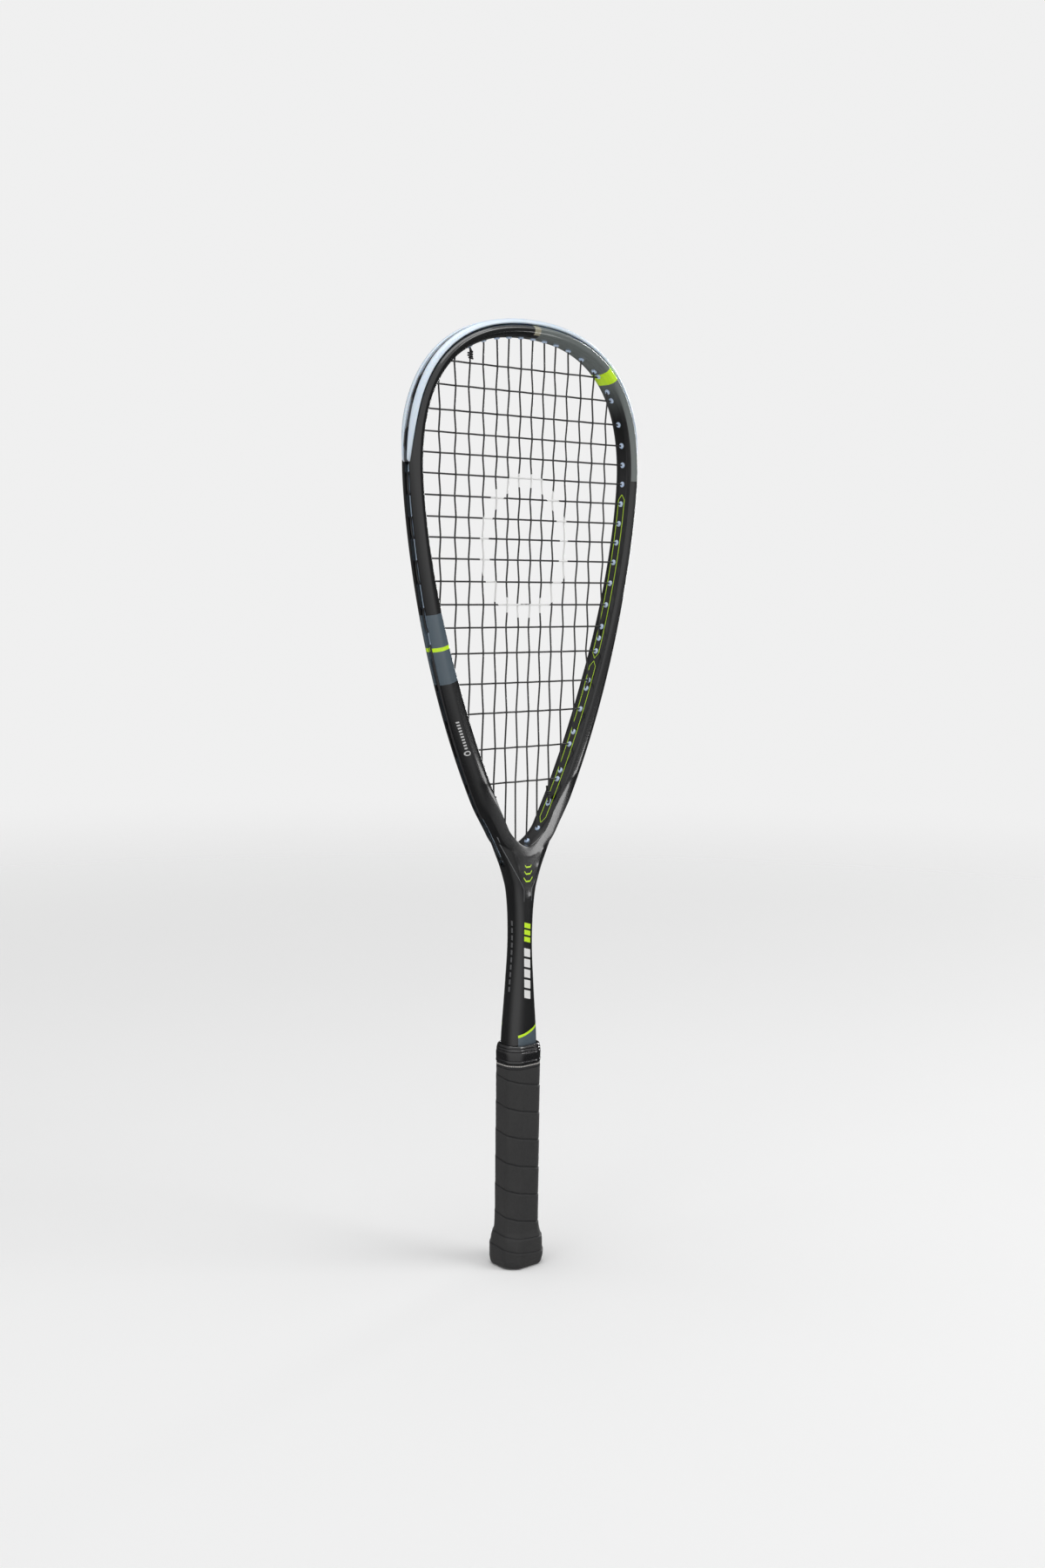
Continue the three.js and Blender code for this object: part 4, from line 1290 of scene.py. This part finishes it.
def tape_finish():
    """Woven tape with a pale line of stitches along its lower edge."""
    tape = Finish("woven_tape", (0.02, 0.02, 0.022), 0.6)
    turn = tape.y.do("ARCTAN2", tape.x)
    weave = (turn * 160).do("SINE") * (tape.z * 9).do("SINE")
    tape.paint(weave * 0.5 + 0.5, (0.035, 0.035, 0.037))
    stitch = abs(tape.z - 152.6).below(0.45) * (turn * 11).repeat(1, 0.7)
    tape.paint(stitch, (0.55, 0.53, 0.5))
    tape.bump(weave + stitch * 2, 0.08)
    return tape.material


def simple_finish(name, colour, variation, roughness, grain, depth, **sockets):
    finish = Finish(name, colour, roughness, **sockets)
    finish.paint(finish.noise(grain / 8, 4), variation)
    finish.roughen(finish.noise(grain / 3, 3) * 0.16 + (roughness - 0.08))
    finish.bump(finish.noise(grain, 3), depth)
    return finish.material


def dress(piece, material):
    piece.data.materials.clear()
    piece.data.materials.append(material)


# ---- stage ----

BACKDROP = 0.87


def make_stage():
    """A pale floor that fades into a pale backdrop."""
    deselect()
    bpy.ops.mesh.primitive_circle_add(vertices=128, radius=3, fill_type="NGON")
    floor = bpy.context.object
    floor.name = "floor"
    floor.visible_glossy = False
    pale = Finish("pale_floor", (0.9, 0.9, 0.9), 0.85)
    pale.paint(pale.noise(2, 3), (0.92, 0.92, 0.92))
    from_middle = (pale.x * pale.x + pale.y * pale.y).do("SQRT")
    pale.tree.links.new((from_middle.ramp(250, 2900) * -1 + 1).socket, pale.shader.inputs["Alpha"])
    dress(floor, pale.material)


def make_world():
    """Pale to the camera; for the light it gives, bright high on the left and in front, dim elsewhere."""
    world = bpy.context.scene.world or bpy.data.worlds.new("studio")
    bpy.context.scene.world = world
    world.use_nodes = True
    nodes, links = world.node_tree.nodes, world.node_tree.links
    background = nodes["Background"]
    background.inputs[0].default_value = (1, 1, 1, 1)
    place = nodes.new("ShaderNodeTexCoord")
    toward = nodes.new("ShaderNodeVectorMath")
    toward.operation = "DOT_PRODUCT"
    toward.inputs[1].default_value = (-0.55, -0.55, 0.63)
    links.new(place.outputs["Generated"], toward.inputs[0])
    glow = nodes.new("ShaderNodeMapRange")
    glow.inputs["From Min"].default_value = -0.1
    glow.inputs["From Max"].default_value = 0.6
    glow.inputs["To Min"].default_value = 0.07
    glow.inputs["To Max"].default_value = 0.72
    links.new(toward.outputs["Value"], glow.inputs["Value"])
    ray = nodes.new("ShaderNodeLightPath")
    choose = nodes.new("ShaderNodeMix")
    links.new(ray.outputs["Is Camera Ray"], choose.inputs[0])
    links.new(glow.outputs[0], choose.inputs[2])
    choose.inputs[3].default_value = BACKDROP
    links.new(choose.outputs[0], background.inputs[1])
    bpy.context.scene.view_settings.view_transform = "Standard"


def add_light(name, place, target, size, power, size_y=None):
    deselect()
    bpy.ops.object.light_add(type="AREA", location=place)
    light = bpy.context.object
    light.name = name
    light.data.shape = "RECTANGLE"
    light.data.size = size
    light.data.size_y = size_y or size
    light.data.energy = power
    light.rotation_euler = (Vector(target) - Vector(place)).to_track_quat("-Z", "Y").to_euler()
    return light


def make_lights():
    middle = (0, 0, 0.4)
    add_light("key", (1.1, -1.5, 2.2), middle, 1.2, 19)
    add_light("overhead", (0, 0.3, 2.6), middle, 1.8, 19)
    add_light("left_fill", (-1.7, -0.1, 1.3), middle, 1.4, 5).visible_glossy = False
    # these two give only highlights: a line along the rim, and a soft patch on the right of the throat
    strip = add_light("right_strip", (2.6, 0.7, 1.25), middle, 0.3, 40, 2)
    glint = add_light("throat_glint", (0.75, -0.78, 0.217), (0.035, 0, 0.345), 0.1, 0.32, 0.16)
    for light in (strip, glint):
        light.visible_diffuse = False


def make_camera():
    yaw, pitch, roll = [math.radians(angle) for angle in (41.404, 6.453, 0.693)]
    forward = Vector((math.sin(yaw) * math.cos(pitch), math.cos(yaw) * math.cos(pitch), -math.sin(pitch)))
    level_right = Vector((math.cos(yaw), -math.sin(yaw), 0))
    level_up = level_right.cross(forward)
    right = level_right * math.cos(roll) + level_up * math.sin(roll)
    up = level_up * math.cos(roll) - level_right * math.sin(roll)
    deselect()
    bpy.ops.object.camera_add()
    camera = bpy.context.object
    camera.data.lens = 41.54
    camera.data.sensor_width = 36
    turned = Matrix((right, up, -forward)).transposed().to_4x4()
    turned.translation = Vector((-0.8584, -0.9746, 0.5045))
    camera.matrix_world = turned
    bpy.context.scene.camera = camera


# ---- the racket ----

make_camera()
make_stage()
make_world()
make_lights()


def fit(piece, material, slot, *nodes):
    if material:
        dress(piece, material)
    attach(piece, "root")
    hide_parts(*nodes)


bumper_nylon = nylon_finish("bumper_nylon", (0.66, 0.76, 0.88), (0.74, 0.83, 0.92), True)
grommet_nylon = nylon_finish("grommet_nylon", (0.5, 0.62, 0.86), (0.58, 0.7, 0.9))
fit(make_frame(), frame_finish(), "frame_carbon", "frame")
fit(make_bumper(bumper_nylon, grommet_nylon), None, "bumper_nylon", "bumper_guard")
# the side strips' nylon is a darker copy of the grommets' pale blue: partly the black frame seen through
# the thin strip, partly painted shade of the groove it lies in
strip_nylon = nylon_finish("strip_nylon", (0.3, 0.38, 0.47), (0.36, 0.44, 0.53))
for side_name, side in (("right", 1), ("left", -1)):
    strip = make_strip(f"grommet_strip_{side_name}_moulding", side, strip_nylon, grommet_nylon)
    fit(strip, None, "grommet_nylon", f"grommet_strip_{side_name}")
for number, (turn, outer) in enumerate(throat_tunnels(), 1):
    way = (outer - turn).normalized()
    barrel = joined(barrels([(turn + way * (STRING_TURN - 0.05), outer - way * 0.4)]))
    barrel.name = f"throat_grommet_{number}_barrel"
    smooth(barrel, 35)
    fit(barrel, grommet_nylon, "grommet_nylon", f"throat_grommet_{number}")

coated_string = string_finish()
for name, route in (("main_string", main_string_route()), ("cross_string", cross_string_route())):
    fit(tube(f"{name}_woven", eased(route), STRING_RADIUS), coated_string, "string_nylon", name)

fit(make_grip(), grip_finish(), "grip_polyurethane", "grip_tape")
fit(make_finishing_tape(), tape_finish(), "finishing_tape", "finishing_tape")
rubber = simple_finish(
    "collar_rubber", (0.007, 0.007, 0.008), (0.01, 0.01, 0.011), 0.2, 600, 0.02, Coat_Weight=0.7)
fit(make_collar(), rubber, "collar_rubber", "grip_collar")
cap_plastic = simple_finish("cap_plastic", (0.018, 0.018, 0.02), (0.028, 0.028, 0.03), 0.45, 1200, 0.04)
fit(make_butt_cap(), cap_plastic, "cap_plastic", "butt_cap")

foam = simple_finish("pallet_foam", (0.55, 0.47, 0.27), (0.62, 0.54, 0.34), 0.9, 900, 0.1)
steel = simple_finish("staple_wire", (0.6, 0.6, 0.62), (0.5, 0.5, 0.52), 0.3, 700, 0.02, Metallic=1.0)
for side_name in ("front", "back"):
    dress(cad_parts[f"pallet_half_{side_name}"], foam)
for number in range(1, 5):
    dress(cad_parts[f"butt_cap_staple_{number}"], steel)
